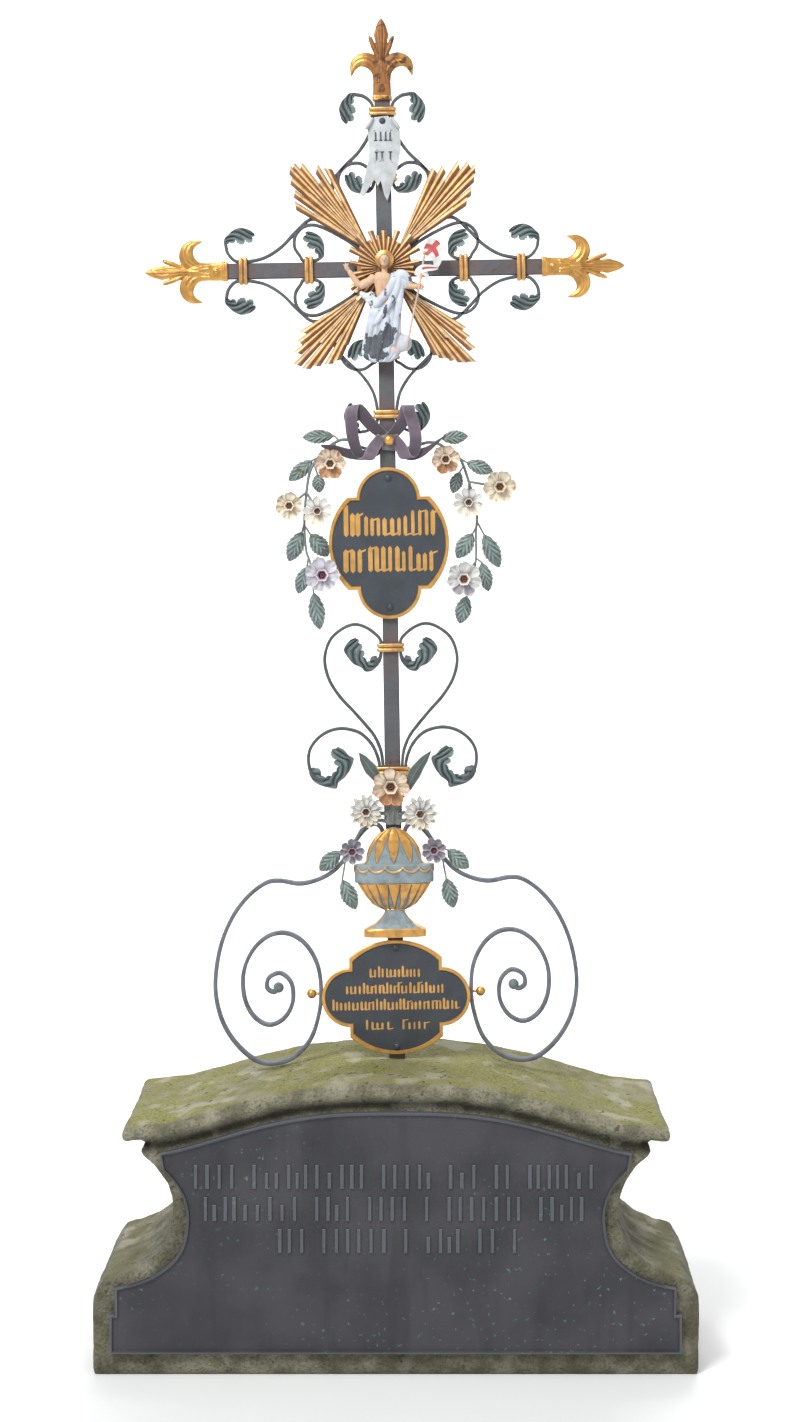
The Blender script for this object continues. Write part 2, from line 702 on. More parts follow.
# Back and lobed edges of the two larger leaves, across and up from their collar
HEART_LEAF = [
    [(19, -24), (24, -32), (31, -37), (41, -38), (48, -31), (59, -26), (68, -16), (75, -4), (71, 6),
     (64, 13), (56, 16)],
    [(22, -14), (27, -13), (33, -17), (31, -23), (38, -22), (45, -14), (42, -6), (49, -4), (45, 4),
     (52, 7), (52, 15)],
]
SIDE_LEAF = [
    [(134, -2), (128, -13), (117, -21), (104, -25), (90, -27), (87, -18), (76, -9), (67, 4), (62, 19),
     (70, 25), (77, 33), (87, 39)],
    [(130, 6), (123, 6), (115, 3), (118, -7), (108, -9), (98, -7), (90, 1), (84, 10), (94, 14), (88, 20),
     (98, 26), (93, 38)],
]


def heart_and_side_scrolls():
    low, high = middle("collar_bouquet")[2], middle("collar_heart")[2]
    rise = high - low
    shares = [(0.175, 0.165), (0.265, 0.28), (0.4, 0.375), (0.585, 0.49), (0.785, 0.61), (0.94, 0.75),
              (1, 0.91), (0.92, 1.06), (0.745, 1.15), (0.55, 1.19), (0.37, 1.165), (0.21, 1.1)]
    heart = [(STEM_LINE, low - 13), (STEM_LINE, low + GRIP_HALF)]
    heart += [(106 * x, low + rise * z) for x, z in shares]
    heart += [(STEM_LINE, high + GRIP_HALF), (STEM_LINE, high - GRIP_HALF), (STEM_LINE + 2, high - 19),
              (STEM_LINE + 8, high - 29)]
    second = STEM_LINE + STEM_WIDE + 0.5
    out = [(25, 26), (34, 44), (50, 60), (69, 67), (86, 68), (104, 63), (120, 52), (131, 37), (134.5, 20),
           (132, 3), (125, -9), (113, -17)]
    side_run = [(second, low - 13), (second, low + GRIP_HALF)] + [(x, low + z) for x, z in out]
    for name, sign in (("left", -1), ("right", 1)):
        for kind, run, leaf, foot, side in (("heart", heart, HEART_LEAF, high, sign),
                                            ("side", side_run, SIDE_LEAF, low, -sign)):
            edges = [[(sign * x, foot + z) for x, z in edge] for edge in leaf]
            shape = Shape()
            scroll(shape, [(sign * x, z) for x, z in run], edges=edges, side=side, growth=5.0)
            piece(f"{kind}_scroll_{name}", shape, "scrollwork")


# The left base scroll's winding, across and up from BASE_LIFT
BASE_WIND = [(-150, 199), (-184, 204), (-207, 200), (-236, 178), (-262, 143), (-281, 95), (-289, 36),
             (-280, -15), (-258, -54), (-228, -81), (-198, -88), (-165, -78), (-138, -50), (-124, -10),
             (-120, 28), (-125, 68), (-143, 101), (-170, 119), (-200, 117), (-227, 95), (-243, 60),
             (-243, 20), (-229, -11), (-205, -26), (-181, -17), (-166, 8), (-167, 39), (-184, 56),
             (-203, 49), (-206, 33), (-195, 26), (-188, 33)]
BASE_LIFT = 80.5


def base_scrolls():
    top = span("urn")[1][2]
    lead = [(STEM_LINE + 0.5, top - 34), (STEM_LINE + 0.5, top - 16), (STEM_LINE + 5, top - 2), (30, top + 4),
            (43, top - 2), (57, top - 17), (72, top - 40), (92, top - 66), (118, top - 82)]
    run = lead + [(-x, z + BASE_LIFT) for x, z in BASE_WIND]
    for name, sign in (("left", -1), ("right", 1)):
        shape = Shape()
        points = [(sign * x, z) for x, z in run]
        scroll(shape, points, wide=6.5, paint=BASE_GREY)
        blob(shape, (points[-1][0], 0, points[-1][1]), (8.5, 7.5, 8.5), LEAF_GREY)
        piece(f"base_scroll_{name}", shape, "scrollwork")


# Bars and collars

RUST_SPREAD = 34.0
BAR_CELL = 9.0


def collar_nodes():
    return [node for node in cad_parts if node.startswith("collar_")]


def on_cross_bar(node):
    return "left" in node or "right" in node


def rusted(heights, points, axis):
    """Bar paint that turns rusty near the collars."""
    share = np.zeros(len(points))
    for height in heights:
        share = np.maximum(share, band(points[:, axis], height, RUST_SPREAD))
    speckle = np.array([noise.noise(Vector(p * 0.05)) for p in points])
    share = np.clip(share * 1.1 + speckle * 0.5 - 0.1, 0, 1)[:, None]
    return blend(SLATE, RUST, share)


def bar(node, axis, heights):
    """The CAD bar with softened edges, cut across often enough to carry its paint."""
    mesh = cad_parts[node].data.copy()
    mesh.transform(CROSS_INVERSE)
    bm = bmesh.new()
    bm.from_mesh(mesh)
    bmesh.ops.remove_doubles(bm, verts=bm.verts, dist=0.01)
    bmesh.ops.dissolve_limit(bm, angle_limit=0.02, verts=bm.verts, edges=bm.edges)
    bmesh.ops.bevel(bm, geom=bm.edges[:], offset=0.9, segments=2, affect="EDGES")
    low, high = span(node)
    cut_across(bm, axis, np.arange(low[axis] + 6, high[axis], BAR_CELL))
    bm.to_mesh(mesh)
    bm.free()
    shape = from_mesh(mesh, SLATE)
    shape.paint = rusted(heights, shape.points, axis)
    piece(node, shape, "bars", sharp=50.0)


def bars():
    upright = [middle(node)[2] for node in collar_nodes() if not on_cross_bar(node)]
    sideways = [middle(node)[0] for node in collar_nodes() if on_cross_bar(node)]
    bar("upright_bar", 2, upright + [20])
    bar("cross_bar", 0, sideways)


COLLAR_WALL = 3.6
# Along the bar, and out from the collar's inner side
COLLAR_PROFILE = [(-6.8, 0), (-6.8, 2.2), (-6.0, 3.3), (-4.0, 3.7), (-2.0, 3.3), (-1.0, 2.1), (0, 1.4),
                  (1.0, 2.1), (2.0, 3.3), (4.0, 3.7), (6.0, 3.3), (6.8, 2.2), (6.8, 0)]


def collars():
    for node in collar_nodes():
        low, high = span(node)
        centre, half = (low + high) / 2, (high - low) / 2
        lengthways = 0 if on_cross_bar(node) else 2
        out = 2 - lengthways
        wide, deep = half[out] - COLLAR_WALL, half[1] - COLLAR_WALL
        rings = []
        for corner in range(4):
            for step in range(4):
                angle = math.radians(corner * 90 + step * 30)
                sx = 1 if corner in (0, 3) else -1
                sy = 1 if corner < 2 else -1
                ring = []
                for along, rise in COLLAR_PROFILE:
                    point = np.array(centre)
                    point[lengthways] += along + 0.25 * math.sin(3 * angle + centre[2])
                    point[out] += sx * (wide - 1) + (rise + 1) * math.cos(angle)
                    point[1] += sy * (deep - 1) + (rise + 1) * math.sin(angle)
                    ring.append(point)
                rings.append(ring)
        shape = Shape()
        loft(shape, rings, GOLD, 1.0, looped=True)
        piece(node, shape, "gilding", sharp=60.0)


# Finials

def finial_socket(shape):
    """Moulded socket that tapers on into the middle of the lily."""
    profile = [(0, 15.0, 8.4), (1, 15.8, 9.0), (3.2, 15.8, 9.0), (4, 14.9, 8.3), (4.8, 15.8, 9.0),
               (7.4, 15.8, 9.0), (8.4, 14.6, 7.8), (28, 14.2, 7.6), (33, 13.2, 7.8), (40, 11.4, 8.2),
               (50, 9.0, 8.4), (60, 7.0, 8.0), (66, 4.0, 6.0)]
    rings = []
    for u, wide, deep in profile:
        section = rounded(2 * wide, 2 * deep, 24, 5.0)
        rings.append([(u, v, y) for v, y in section])
    loft(shape, rings)


def finial_sides(shape):
    """Both curled leaves and the prongs between them and the middle leaf."""
    w = np.linspace(0, 1, 13)[None, :]
    for side in (1, -1):
        inner = spline([(27, 14), (43, 15.2), (52, 22), (55.5, 32), (53, 39), (46, 44.5), (40, 48)], 30)
        outer = spline([(30, 0), (54, -3), (72, 9), (78, 25), (73, 41), (60, 50), (42, 50)], 30)
        plan = blend(inner[:, None], outer[:, None], w[..., None])
        fade = np.linspace(1, 0.35, 30)[:, None]
        rib = 1.3 * np.cos(6 * math.pi * w) * fade
        depth = (7.5 * fade * np.sqrt(np.clip(1 - (2 * w - 1) ** 2, 0, 1)) + 1.0 + rib * np.sin(math.pi * w))
        shell(shape, *(grid(plan[..., 0], side * plan[..., 1], sign * depth) for sign in (-1, 1)))
        prong = spline([(54, 1), (70, 6), (86, 12.5), (98, 16.5), (105, 20)], 20)
        width = np.interp(np.linspace(0, 1, 20), [0, 0.55, 0.85, 1], [2.4, 4.0, 3.4, 0.6])
        path = grid(prong[:, 0], side * prong[:, 1], 0)
        sweep(shape, path, ROUND, np.stack([width, width * 1.4], axis=1), lead=(0, 0, 1))


def finial_middle(shape):
    t = np.linspace(0, 1, 40)
    length = 46 + 87 * t
    half = np.interp(length, [46, 60, 76, 86, 96, 106, 113, 120, 127, 133],
                     [5, 6, 6.5, 9, 9.6, 12, 10, 8, 5, 0.8])[:, None]
    w = np.linspace(-1, 1, 17)[None, :]
    rib = 1.5 * np.cos(4 * math.pi * w) * (1 - w**2)
    deep = (8.5 * np.interp(t, [0, 0.4, 0.85, 1], [0.9, 1, 0.6, 0.12]))[:, None]
    depth = deep * (0.35 + 0.65 * (1 - np.abs(w) ** 1.3)) + rib * (deep / 8.5)
    shell(shape, *(grid(length[:, None], half * w, sign * depth) for sign in (-1, 1)))


def finial_body():
    """Lily casting in its own frame: out from the socket, across, and depth."""
    shape = Shape()
    finial_socket(shape)
    finial_sides(shape)
    finial_middle(shape)
    blob(shape, (18, 0, -8), (4.2, 4.2, 2.6))
    return cast(shape, 0.95, GOLD, 1.0, 1)


def finials():
    body = finial_body()
    for arm in ("left", "right", "top"):
        low, high = span(f"finial_{arm}")
        start = {"left": -high[0], "right": low[0], "top": low[2] - CROSSING}[arm]
        place = ARMS[arm][0]
        shape = Shape()
        across, up = place(body.points[:, 0] + start, body.points[:, 1])
        points = grid(across, body.points[:, 2], up)
        if arm == "top":
            bright = np.clip((np.abs(body.points[:, 1]) - 22) / 10, 0, 1) + (body.points[:, 0] < 8)
            share = np.clip(bright, 0, 1)[:, None]
            shape.add(points, body.faces, blend(OLD_GOLD, GOLD, share), 0.35 + 0.6 * share[:, 0])
        else:
            shape.add(points, body.faces, GOLD, 1.0)
        piece(f"finial_{arm}", shape, "old_gilding" if arm == "top" else "gilding", sharp=70.0)


# Rays

# Across and forward, as shares of the half width and the height
RAY_SECTION = [(-1, 0), (-1, 0.25), (-0.5, 0.62), (-0.08, 1), (0.2, 1), (0.78, 0.5), (1, 0.25), (1, 0)]


def ray(shape, root, tip, root_half, tip_half, back, height, slant):
    """Gabled bar of growing width with a slanted end: its upper face is brighter."""
    root, tip = np.asarray(root, float), np.asarray(tip, float)
    along = (tip - root) / np.linalg.norm(tip - root)
    across = np.array([-along[1], along[0]])
    upper = 1 if across[1] - 0.5 * across[0] > 0 else -1
    tones = {-1: BOLE, -0.5: OLD_GOLD, -0.08: OLD_GOLD, 0.2: LIGHT_GOLD, 0.78: GOLD, 1: BOLE}
    rings, paint = [], []
    for t in np.linspace(0, 1, 14):
        half = root_half + (tip_half - root_half) * t
        spot = root + (tip - root) * t
        ring, colours = [], []
        for side, rise in RAY_SECTION:
            place = spot + across * half * side * upper + along * slant * half * side * t
            ring.append((place[0], back - height * rise * (0.75 + 0.25 * t), place[1]))
            colours.append(tones[side] if rise else BOLE)
        rings.append(ring)
        paint.append(colours)
    loft(shape, rings, np.array(paint), 0.4)


# Tips of the rays, across and up from the crossing
RAY_TIPS = {
    "upper_left": [(-149, 160), (-143, 165), (-131, 165), (-106, 161), (-88, 161), (-147, 143), (-142, 122),
                   (-141, 103), (-102, 138), (-117, 116), (-112, 88)],
    "upper_right": [(82, 156), (97, 158), (121, 164), (137, 164), (147, 158), (145, 144), (140, 122),
                    (133, 106), (111, 92), (97, 138)],
    "lower_left": [(-131, -101), (-137, -117), (-141, -133), (-142, -152), (-128, -158), (-112, -154),
                   (-92, -151), (-79, -146), (-103, -117), (-66, -121)],
    "lower_right": [(124, -99), (130, -113), (138, -131), (136, -151), (122, -152), (108, -148), (92, -145),
                    (82, -140), (68, -112), (97, -112)],
}


SHORT_RAY = 185.0
RAY_HEIGHTS = (4.8, 6.2)


def ray_bundles():
    """Rays side by side, every other one taller; the short ones lie on top of the long."""
    for name, tips in RAY_TIPS.items():
        low, high = span(f"rays_{name}")
        shape = Shape()
        for i, (x, h) in enumerate(tips):
            root = (math.copysign(23, x), CROSSING + math.copysign(29, h))
            tip = (min(max(x, low[0] - 2), high[0] + 2), CROSSING + h)
            lift = -0.6 if math.hypot(x, h) < SHORT_RAY else 0.25 * (i % 2)
            ray(shape, root, tip, 2.3, 5.9, high[1] + lift, RAY_HEIGHTS[i % 2], random.uniform(0.3, 1.0))
        piece(f"rays_{name}", shape, "gilding", sharp=28.0, spread=0)


def sunburst():
    low, high = span("sunburst_centre")
    half_x, half_z = (high[0] - low[0]) / 2, (high[2] - low[2]) / 2
    plate_back = low[1] + 6.5
    shape = Shape()
    count = 36
    for i in range(count):
        angle = 2 * math.pi * i / count
        c, s = math.cos(angle), math.sin(angle)
        limit = min(half_x / (abs(c) + 1e-6), half_z / (abs(s) + 1e-6), half_z * 1.12)
        far = limit * (1.0 if i % 2 else random.uniform(0.66, 0.92))
        tip = (far * c, CROSSING + far * s)
        ray(shape, (13 * c, CROSSING + 13 * s), tip, 0.9, math.pi * far / count * 0.92, plate_back - 1.0,
            3.2 if i % 2 else 5.3, random.uniform(-0.3, 0.6))
    disc = oval(0, CROSSING, 0.8 * half_x, 0.8 * half_z, 48)
    slab(shape, disc, plate_back - 1.8, plate_back, OLD_GOLD, 0.3)
    slab(shape, rectangle(-9, 9, CROSSING - 9, CROSSING + 9), plate_back - 1, high[1], GOLD, 1.0)
    piece("sunburst_centre", shape, "gilding", sharp=28.0, spread=0)


# Plaques

def lobed_outline(lobes, centre, inset, steps=26):
    """Four round lobes that meet in small steps."""
    width, height, top_x, top_z, side_x, side_z = lobes

    def arc(half, low, peak):
        radius = (half**2 + (peak - low) ** 2) / (2 * (peak - low))
        start = math.atan2(low - peak + radius, half)
        angle = np.linspace(start, math.pi - start, steps)
        return np.stack([radius * np.cos(angle), peak - radius + radius * np.sin(angle)], axis=1)

    top = arc(top_x - inset, top_z - inset, height - inset)
    side = arc(side_z - inset, side_x - inset, width - inset)
    left = np.stack([-side[:, 1], side[:, 0]], axis=1)
    return np.vstack([top, left, -top, -left]) + np.array(centre)


def strokes(shape, rows, front, seed):
    """Rows of upright brush strokes with pointed ends: centre, reach, height, width and pitch of each row."""
    random.seed(seed)
    for x0, z0, half, height, width, pitch in rows:
        x = x0 - half
        while x < x0 + half:
            tall = height * random.choice((0.72, 0.72, 1.0, 0.8))
            wide = width * random.uniform(0.85, 1.15)
            z = z0 - height * 0.36
            left, right = x - wide / 2, x + wide / 2
            low, high = z + wide * 0.5, z + tall - wide * 0.6
            outline = [(left, low), (x, z), (right, low), (right, high), (x, z + tall), (left, high)]
            slab(shape, outline, front - 0.35, front + 0.2, GOLD, 0.55, 0.15)
            if random.random() < 0.45:
                z += random.choice((0.0, tall - wide))
                dash = [(x, z), (x + pitch * 0.9, z + wide * 0.5), (x + pitch, z + wide), (x, z + wide * 0.5)]
                slab(shape, dash, front - 0.3, front + 0.2, GOLD, 0.55, 0.1)
            x += pitch * random.uniform(0.9, 1.15)


def bolt(shape, x, z, front, radius):
    washer = radius + 1.6
    slab(shape, oval(x, z, washer, washer, 24), front - 0.8, front + 0.5, PLAQUE, 0.0, 0.3)
    blob(shape, (x, front - 0.6, z), (radius, 3.0, radius), PLAQUE)


def plaque(node, lobes, rows, bolts, seed):
    centre = middle(node)[[0, 2]]
    back = SEAT - 1
    field, rim = back - 4, back - 6
    shape = Shape()
    levels = [(0.8, back, PLAQUE, 0), (0, back - 0.8, GOLD, 0.7), (0, rim + 0.8, GOLD, 0.7),
              (0.9, rim, GOLD, 0.7), (4.8, rim, GOLD, 0.7), (5.8, field + 0.4, GOLD, 0.7),
              (6.1, field, PLAQUE, 0), (12, field, PLAQUE, 0)]
    rings, paint, gild = [], [], []
    for inset, depth, colour, gilt in levels:
        outline = lobed_outline(lobes, centre, inset)
        rings.append(flat_to_space(outline, depth))
        paint.append([colour] * len(outline))
        gild.append([gilt] * len(outline))
    loft(shape, rings, np.array(paint), np.array(gild))
    for rise in bolts:
        bolt(shape, centre[0], centre[1] + rise, field, 5.0)
        limb(shape, [(centre[0], field, centre[1] + rise), (centre[0], SEAT, centre[1] + rise)], [4, 4])
    strokes(shape, [(centre[0] + x, centre[1] + z, *rest) for x, z, *rest in rows], field, seed)
    return shape, centre


def plaques():
    name_rows = [(-58, 30, 10, 54, 7, 9), (18, 26, 54, 42, 6.2, 10.6), (-56, -28, 13, 54, 8, 10.5),
                 (22, -31, 52, 42, 6.4, 11)]
    shape, _ = plaque("name_plaque", (96, 121, 51, 74, 66, 74), name_rows, (104, -102), 5)
    piece("name_plaque", shape, "plaques", sharp=30.0)
    date_rows = [(0, 38, 40, 19, 3.6, 6.2), (0, 12, 78, 19, 3.6, 6.2), (0, -14, 100, 19, 3.6, 6.2),
                 (-30, -46, 17, 17, 3.2, 8.5), (28, -46, 17, 17, 3.2, 8.5)]
    shape, centre = plaque("dates_plaque", (118.5, 91, 74, 63, 74, 47), date_rows, (79, -79), 9)
    level = centre[1] + 5
    ball = span("dates_plaque")[1][0] - 7.7
    for side in (-1, 1):
        limb(shape, [(side * 104, 0, level), (side * ball, 0, level)], [2.2, 2.2], GOLD, 0.8)
        blob(shape, (side * ball, 0, level), (7.7, 7.7, 7.7), GOLD, 1.0, 18, 24)
        lug = rectangle(side * 108.5 - 6, side * 108.5 + 6, level - 4, level + 4)
        slab(shape, lug, -7.5, 3, PLAQUE)
    piece("dates_plaque", shape, "plaques", sharp=30.0)


# Title

# Across and up from the crossing
TITLE_OUTLINE = [(-24, 226), (-22, 190), (-23.5, 171), (-29, 149), (-37, 119), (-32, 115), (-22, 131),
                 (-14, 142), (-9, 131), (-4, 140), (1, 118), (6, 108), (13, 129), (20, 149), (25, 169),
                 (28, 189), (28.5, 210), (26, 228), (15, 236), (9, 243), (-13, 241), (-17, 232)]


def title():
    back = span("title_scroll")[0][1] + 5

    def bend(x, z):
        h = z - CROSSING
        curl = 6 * max(0, (145 - h) / 40) ** 2 * (1 if x < -4 else -0.6)
        return back - 1.5 + 0.0035 * x * x - curl + 0.8 * math.sin(h * 0.07)

    outline = [(x, h + CROSSING) for x, h in TITLE_OUTLINE]
    shape = panel(outline, 3.0, 2.6, bend, TITLE)
    for side in (-1, 1):
        roll = [(side * 27, back - 3.5, CROSSING + 222), (side * 15, back - 4.5, CROSSING + 240)]
        limb(shape, roll, [2.6, 3.4, 2.4], TITLE)
    marks = [(-11, 212, 16), (-3, 212, 16), (5, 212, 16), (12, 212, 16), (-10, 177, 17), (-1, 177, 17),
             (12, 177, 17)]
    for x, h, tall in marks:
        z = CROSSING + h
        front = bend(x, z) - 1.3
        parts = [rectangle(x - 1.4, x + 1.4, z - tall / 2, z + tall / 2)]
        parts += [rectangle(x - 3, x + 3, z + end - 0.9, z + end + 0.9) for end in (-tall / 2, tall / 2)]
        for part in parts:
            slab(shape, part, front - 0.25, front + 0.5, TITLE_INK, 0.0, 0.1)
    rivet = CROSSING + 235
    bolt(shape, 0, rivet, back - 3, 3.6)
    limb(shape, [(0, back - 2, rivet), (0, SEAT, rivet)], [3.4, 3.4], TITLE)
    piece("title_scroll", shape, "title", sharp=40.0)


# Ribbon

def ribbon(shape, path, wide, thickness=2.2):
    """Flat strip along points of across, depth, up, the turn of its width in degrees, and its lightness."""
    count = 70
    run = spline(path, count)
    turn = np.radians(run[:, 3])
    points = run[:, :3]
    ahead = np.gradient(points, axis=0)
    width = np.interp(np.linspace(0, 1, count), np.linspace(0, 1, len(wide)), wide)
    section = rounded(1, 1, 16, 6.0)
    worn_edge = 0.85 + 0.45 * np.abs(2 * section[:, :1]) ** 5
    rings, paint = [], []
    for point, along, angle, span_wide, light in zip(points, ahead, turn, width, run[:, 4]):
        across = np.array([math.cos(angle), 0, math.sin(angle)])
        normal = np.cross(across, along)
        normal /= np.linalg.norm(normal)
        offsets = np.outer(section[:, 0] * span_wide, across)
        rings.append(point + offsets + np.outer(section[:, 1] * thickness, normal))
        paint.append(np.array(RIBBON) * light * worn_edge)
    loft(shape, rings, np.clip(np.array(paint), 0.0, 1.0))


# The bow's strips, left and right, as ribbon takes them, with heights from the knot
LOOPS = [
    [(-4, -9, 6, 45, 0.5), (-26, -9, 26, 42, 0.55), (-43, -10, 47, 28, 0.7), (-53, -13, 56, 10, 1.5),
     (-57, -17, 42, 2, 1.2), (-56, -16, 14, -4, 0.8), (-51, -14, -10, -8, 0.6), (-42, -12, -27, -6, 0.5),
     (-31, -15, -28, -12, 1.4), (-21, -17, -10, -24, 1.3), (-8, -15, 6, -34, 0.8)],
    [(5, -9, 5, -28, 0.5), (17, -9, 18, -14, 0.6), (27, -11, 34, -4, 0.8), (33, -13.5, 55, 0, 1.4),
     (36, -16.5, 44, 2, 0.9), (43, -17, 20, 0, 1.3), (45, -15.5, -2, 0, 0.9), (40, -13, -25, 6, 0.6),
     (29, -15, -27, 12, 1.4), (20, -17, -9, 20, 1.3), (8, -15, 6, 30, 0.8)],
]
TAILS = [
    [(2, -8, -10, 60, 0.5), (-26, -8.5, -22, 80, 0.5), (-58, -9.5, -21, 92, 0.6), (-84, -11, -13, 100, 0.5),
     (-106, -10, -7, 100, 0.7)],
    [(8, -8, -10, 120, 0.5), (30, -8.5, -24, 100, 0.5), (54, -10, -21, 78, 0.6), (74, -11, -9, 64, 0.8),
     (94, -9, 8, 58, 0.6)],
]


def bow():
    knot = middle("bow_boss")
    z = knot[2]
    shape = Shape()
    for runs, wide in ((LOOPS, [17, 21, 22, 20, 20, 20, 19, 20, 17]), (TAILS, [12, 16, 17, 15, 4])):
        for run in runs:
            ribbon(shape, [(x, y, z + h, *rest) for x, y, h, *rest in run], wide)
    knot_paint = np.array(RIBBON) * 0.5
    slab(shape, [(-9, z - 15), (12, z - 17), (11, z + 9), (-9, z + 9)], -11, SEAT, knot_paint)
    piece("ribbon_bow", shape, "ribbon", sharp=50.0)
    boss = Shape()
    back = span("bow_boss")[1][1]
    blob(boss, (knot[0], back - 1, z), (8.6, 8.0, 8.6), GOLD, 1.0, 18, 24)
    piece("bow_boss", boss, "gilding")


# Flowers and foliage

VEINS = 5


def foliage_leaf(shape, root, base, tip, width, depth):
    """Toothed and veined leaf on its stalk."""
    base, tip = np.asarray(base, float), np.asarray(tip, float)
    stations, columns = 64, 15
    t = np.linspace(0, 1, stations)[:, None]
    w = np.linspace(-1, 1, columns)[None, :]
    length = np.linalg.norm(tip - base)
    along = (tip - base) / length
    across = np.array([-along[1], along[0]])
    outline = np.interp(t, [0, 0.06, 0.25, 0.45, 0.7, 0.88, 1], [0.1, 0.5, 0.94, 1.0, 0.72, 0.36, 0.02])
    teeth = 0.94 + 0.2 * (t * 7.5 % 1) * (t < 0.97)
    half = width / 2 * outline * teeth + 0.5
    sweep_up = 0.12 * length * np.abs(w) * outline
    spot = base + along * (t * length + sweep_up * (w != 0))[..., None] + across * (half * w)[..., None]
    vein = np.cos(2 * math.pi * VEINS * (t - 0.24 * np.abs(w)))
    vein *= 0.95 * np.sin(math.pi * np.abs(w)) ** 0.7 * outline
    droop = 3.0 * np.sin(math.pi * t) - 1.5
    midrib = np.exp(-((w * 6) ** 2))
    front = depth - droop + 1.3 * midrib - vein - 2.4 * (1 - w**2) * outline + 1.5
    pale = np.clip(0.95 + 0.45 * midrib + 0.4 * vein, 0.5, 1.6)[..., None]
    rim = np.clip((np.abs(w) - 0.9) * 5, 0, 0.4)[..., None]
    paint = blend(np.array(FOLIAGE) * pale, BROWN_DIRT, rim)
    sheet(shape, spot[..., 0], spot[..., 1], front, front + 1.3, paint)
    stalk = flat_to_space([root, base, base + along * 4], depth)
    limb(shape, stalk, [1.7, 1.4, 1.2], STEM_GREEN)


# Across and up from the bow's boss; a leaf is its root, base, tip and width, and joints are
# the stem's points that carry the flowers
BRANCHES = {
    "left": {
        "stem": [(-15.5, -14), (-40, -11), (-64, 2), (-84, -2), (-108, -22), (-124, -46), (-131, -81),
                 (-135, -129), (-133, -173), (-127, -194), (-122, -240)],
        "leaves": [((-76, 0), (-86, 9), (-136, 7), 21), ((-112, -26), (-121, -30), (-159, -62), 22),
                   ((-118, -38), (-113, -52), (-110, -82), 20),
                   ((-135, -129), (-139, -144), (-161, -191), 26),
                   ((-134, -135), (-126, -148), (-98, -184), 27),
                   ((-130, -186), (-132, -200), (-147, -243), 22),
                   ((-123, -234), (-122, -242), (-113, -301), 25)],
        "joints": (3, 6, 6, 9),
    },
    "right": {
        "stem": [(15.5, -14), (40, -11), (66, -4), (84, -8), (100, -22), (116, -32), (129, -68), (141, -116),
                 (139, -151), (138, -196), (128, -246)],
        "leaves": [((74, -5), (86, 2), (129, 5), 21), ((108, -26), (126, -37), (168, -53), 22),
                   ((120, -44), (115, -52), (103, -86), 20), ((140, -140), (134, -151), (108, -190), 26),
                   ((140, -130), (152, -153), (176, -206), 26), ((138, -190), (148, -198), (158, -244), 22),
                   ((130, -240), (123, -251), (111, -295), 25)],
        "joints": (4, 6, 6, 9),
    },
}
FLOWER_NAMES = ("wreath_flower_top", "wreath_flower_outer", "wreath_flower_middle", "wreath_flower_lower")


def wreath():
    z = middle("bow_boss")[2]
    for side, branch in BRANCHES.items():
        shape = Shape()
        limb(shape, [(x, 0, z + h) for x, h in branch["stem"]], [2.6, 2.6, 2.4, 2.0, 1.6], STEM_GREEN)
        for root, base, tip, width in branch["leaves"]:
            lifted = [(x, z + h) for x, h in (root, base, tip)]
            foliage_leaf(shape, *lifted, width, 0)
        for name, joint in zip(FLOWER_NAMES, branch["joints"]):
            low, high = span(f"{name}_{side}")
            x, h = branch["stem"][joint]
            centre = (low + high) / 2
            limb(shape, [(x, 0, z + h), (centre[0], high[1] + 2, centre[2])], [2.0, 2.4], STEM_GREEN)
        piece(f"wreath_branch_{side}", shape, "foliage", sharp=60.0)


def petal(shape, centre, angle, start, end, half, depth, cup, paint):
    """One dished petal that stands out at an angle; paint is a function of share along, across and height."""
    t = np.linspace(0, 1, 12)[:, None]
    w = np.linspace(-1, 1, 9)[None, :]
    width = half * np.interp(t, [0, 0.2, 0.45, 0.7, 0.86, 0.95, 1], [0.35, 0.45, 0.8, 1.0, 0.88, 0.6, 0.15])
    out = start + (end - start) * (t - 0.05 * w**2 * t)
    c, s = math.cos(angle), math.sin(angle)
    x = centre[0] + out * c - width * w * s
    z = centre[2] + out * s + width * w * c
    rim = np.maximum(w**2, np.clip((t - 0.6) / 0.4, 0, 1) ** 2)
    y = centre[1] - depth[0] - (depth[1] - depth[0]) * t**0.8 - cup * rim * np.clip(t * 2.5, 0, 1)
    y = y - 0.2 * np.cos(w * 3 * math.pi) * np.sin(math.pi * t)
    sheet(shape, x, z, y, y + 1.1, paint(t, w, s))


def trumpet(shape, centre, inner, outer, length, face, inside):
    """Flared and scalloped cup at the heart of a flower: pale outside, amber and dark inside."""
    turn = np.linspace(0, 2 * math.pi, 48, endpoint=False)
    scallop = 1 + 0.07 * np.cos(6 * turn)
    rings, paint = [], []
    sides = [(0, 1, face), (0.5, 1, face), (1, 1, face), (1, 0.86, face), (0.7, 0.8, inside),
             (0.3, 0.72, CORE), (0.15, 0.4, CORE)]
    for along, wall, colour in sides:
        radius = (inner + (outer - inner) * along**1.5) * wall * (1 + (scallop - 1) * along)
        ring = grid(centre[0] + radius * np.cos(turn), centre[1] - length * along,
                    centre[2] + radius * np.sin(turn))
        rings.append(ring)
        paint.append(np.broadcast_to(colour, ring.shape))
    loft(shape, rings, np.array(paint))


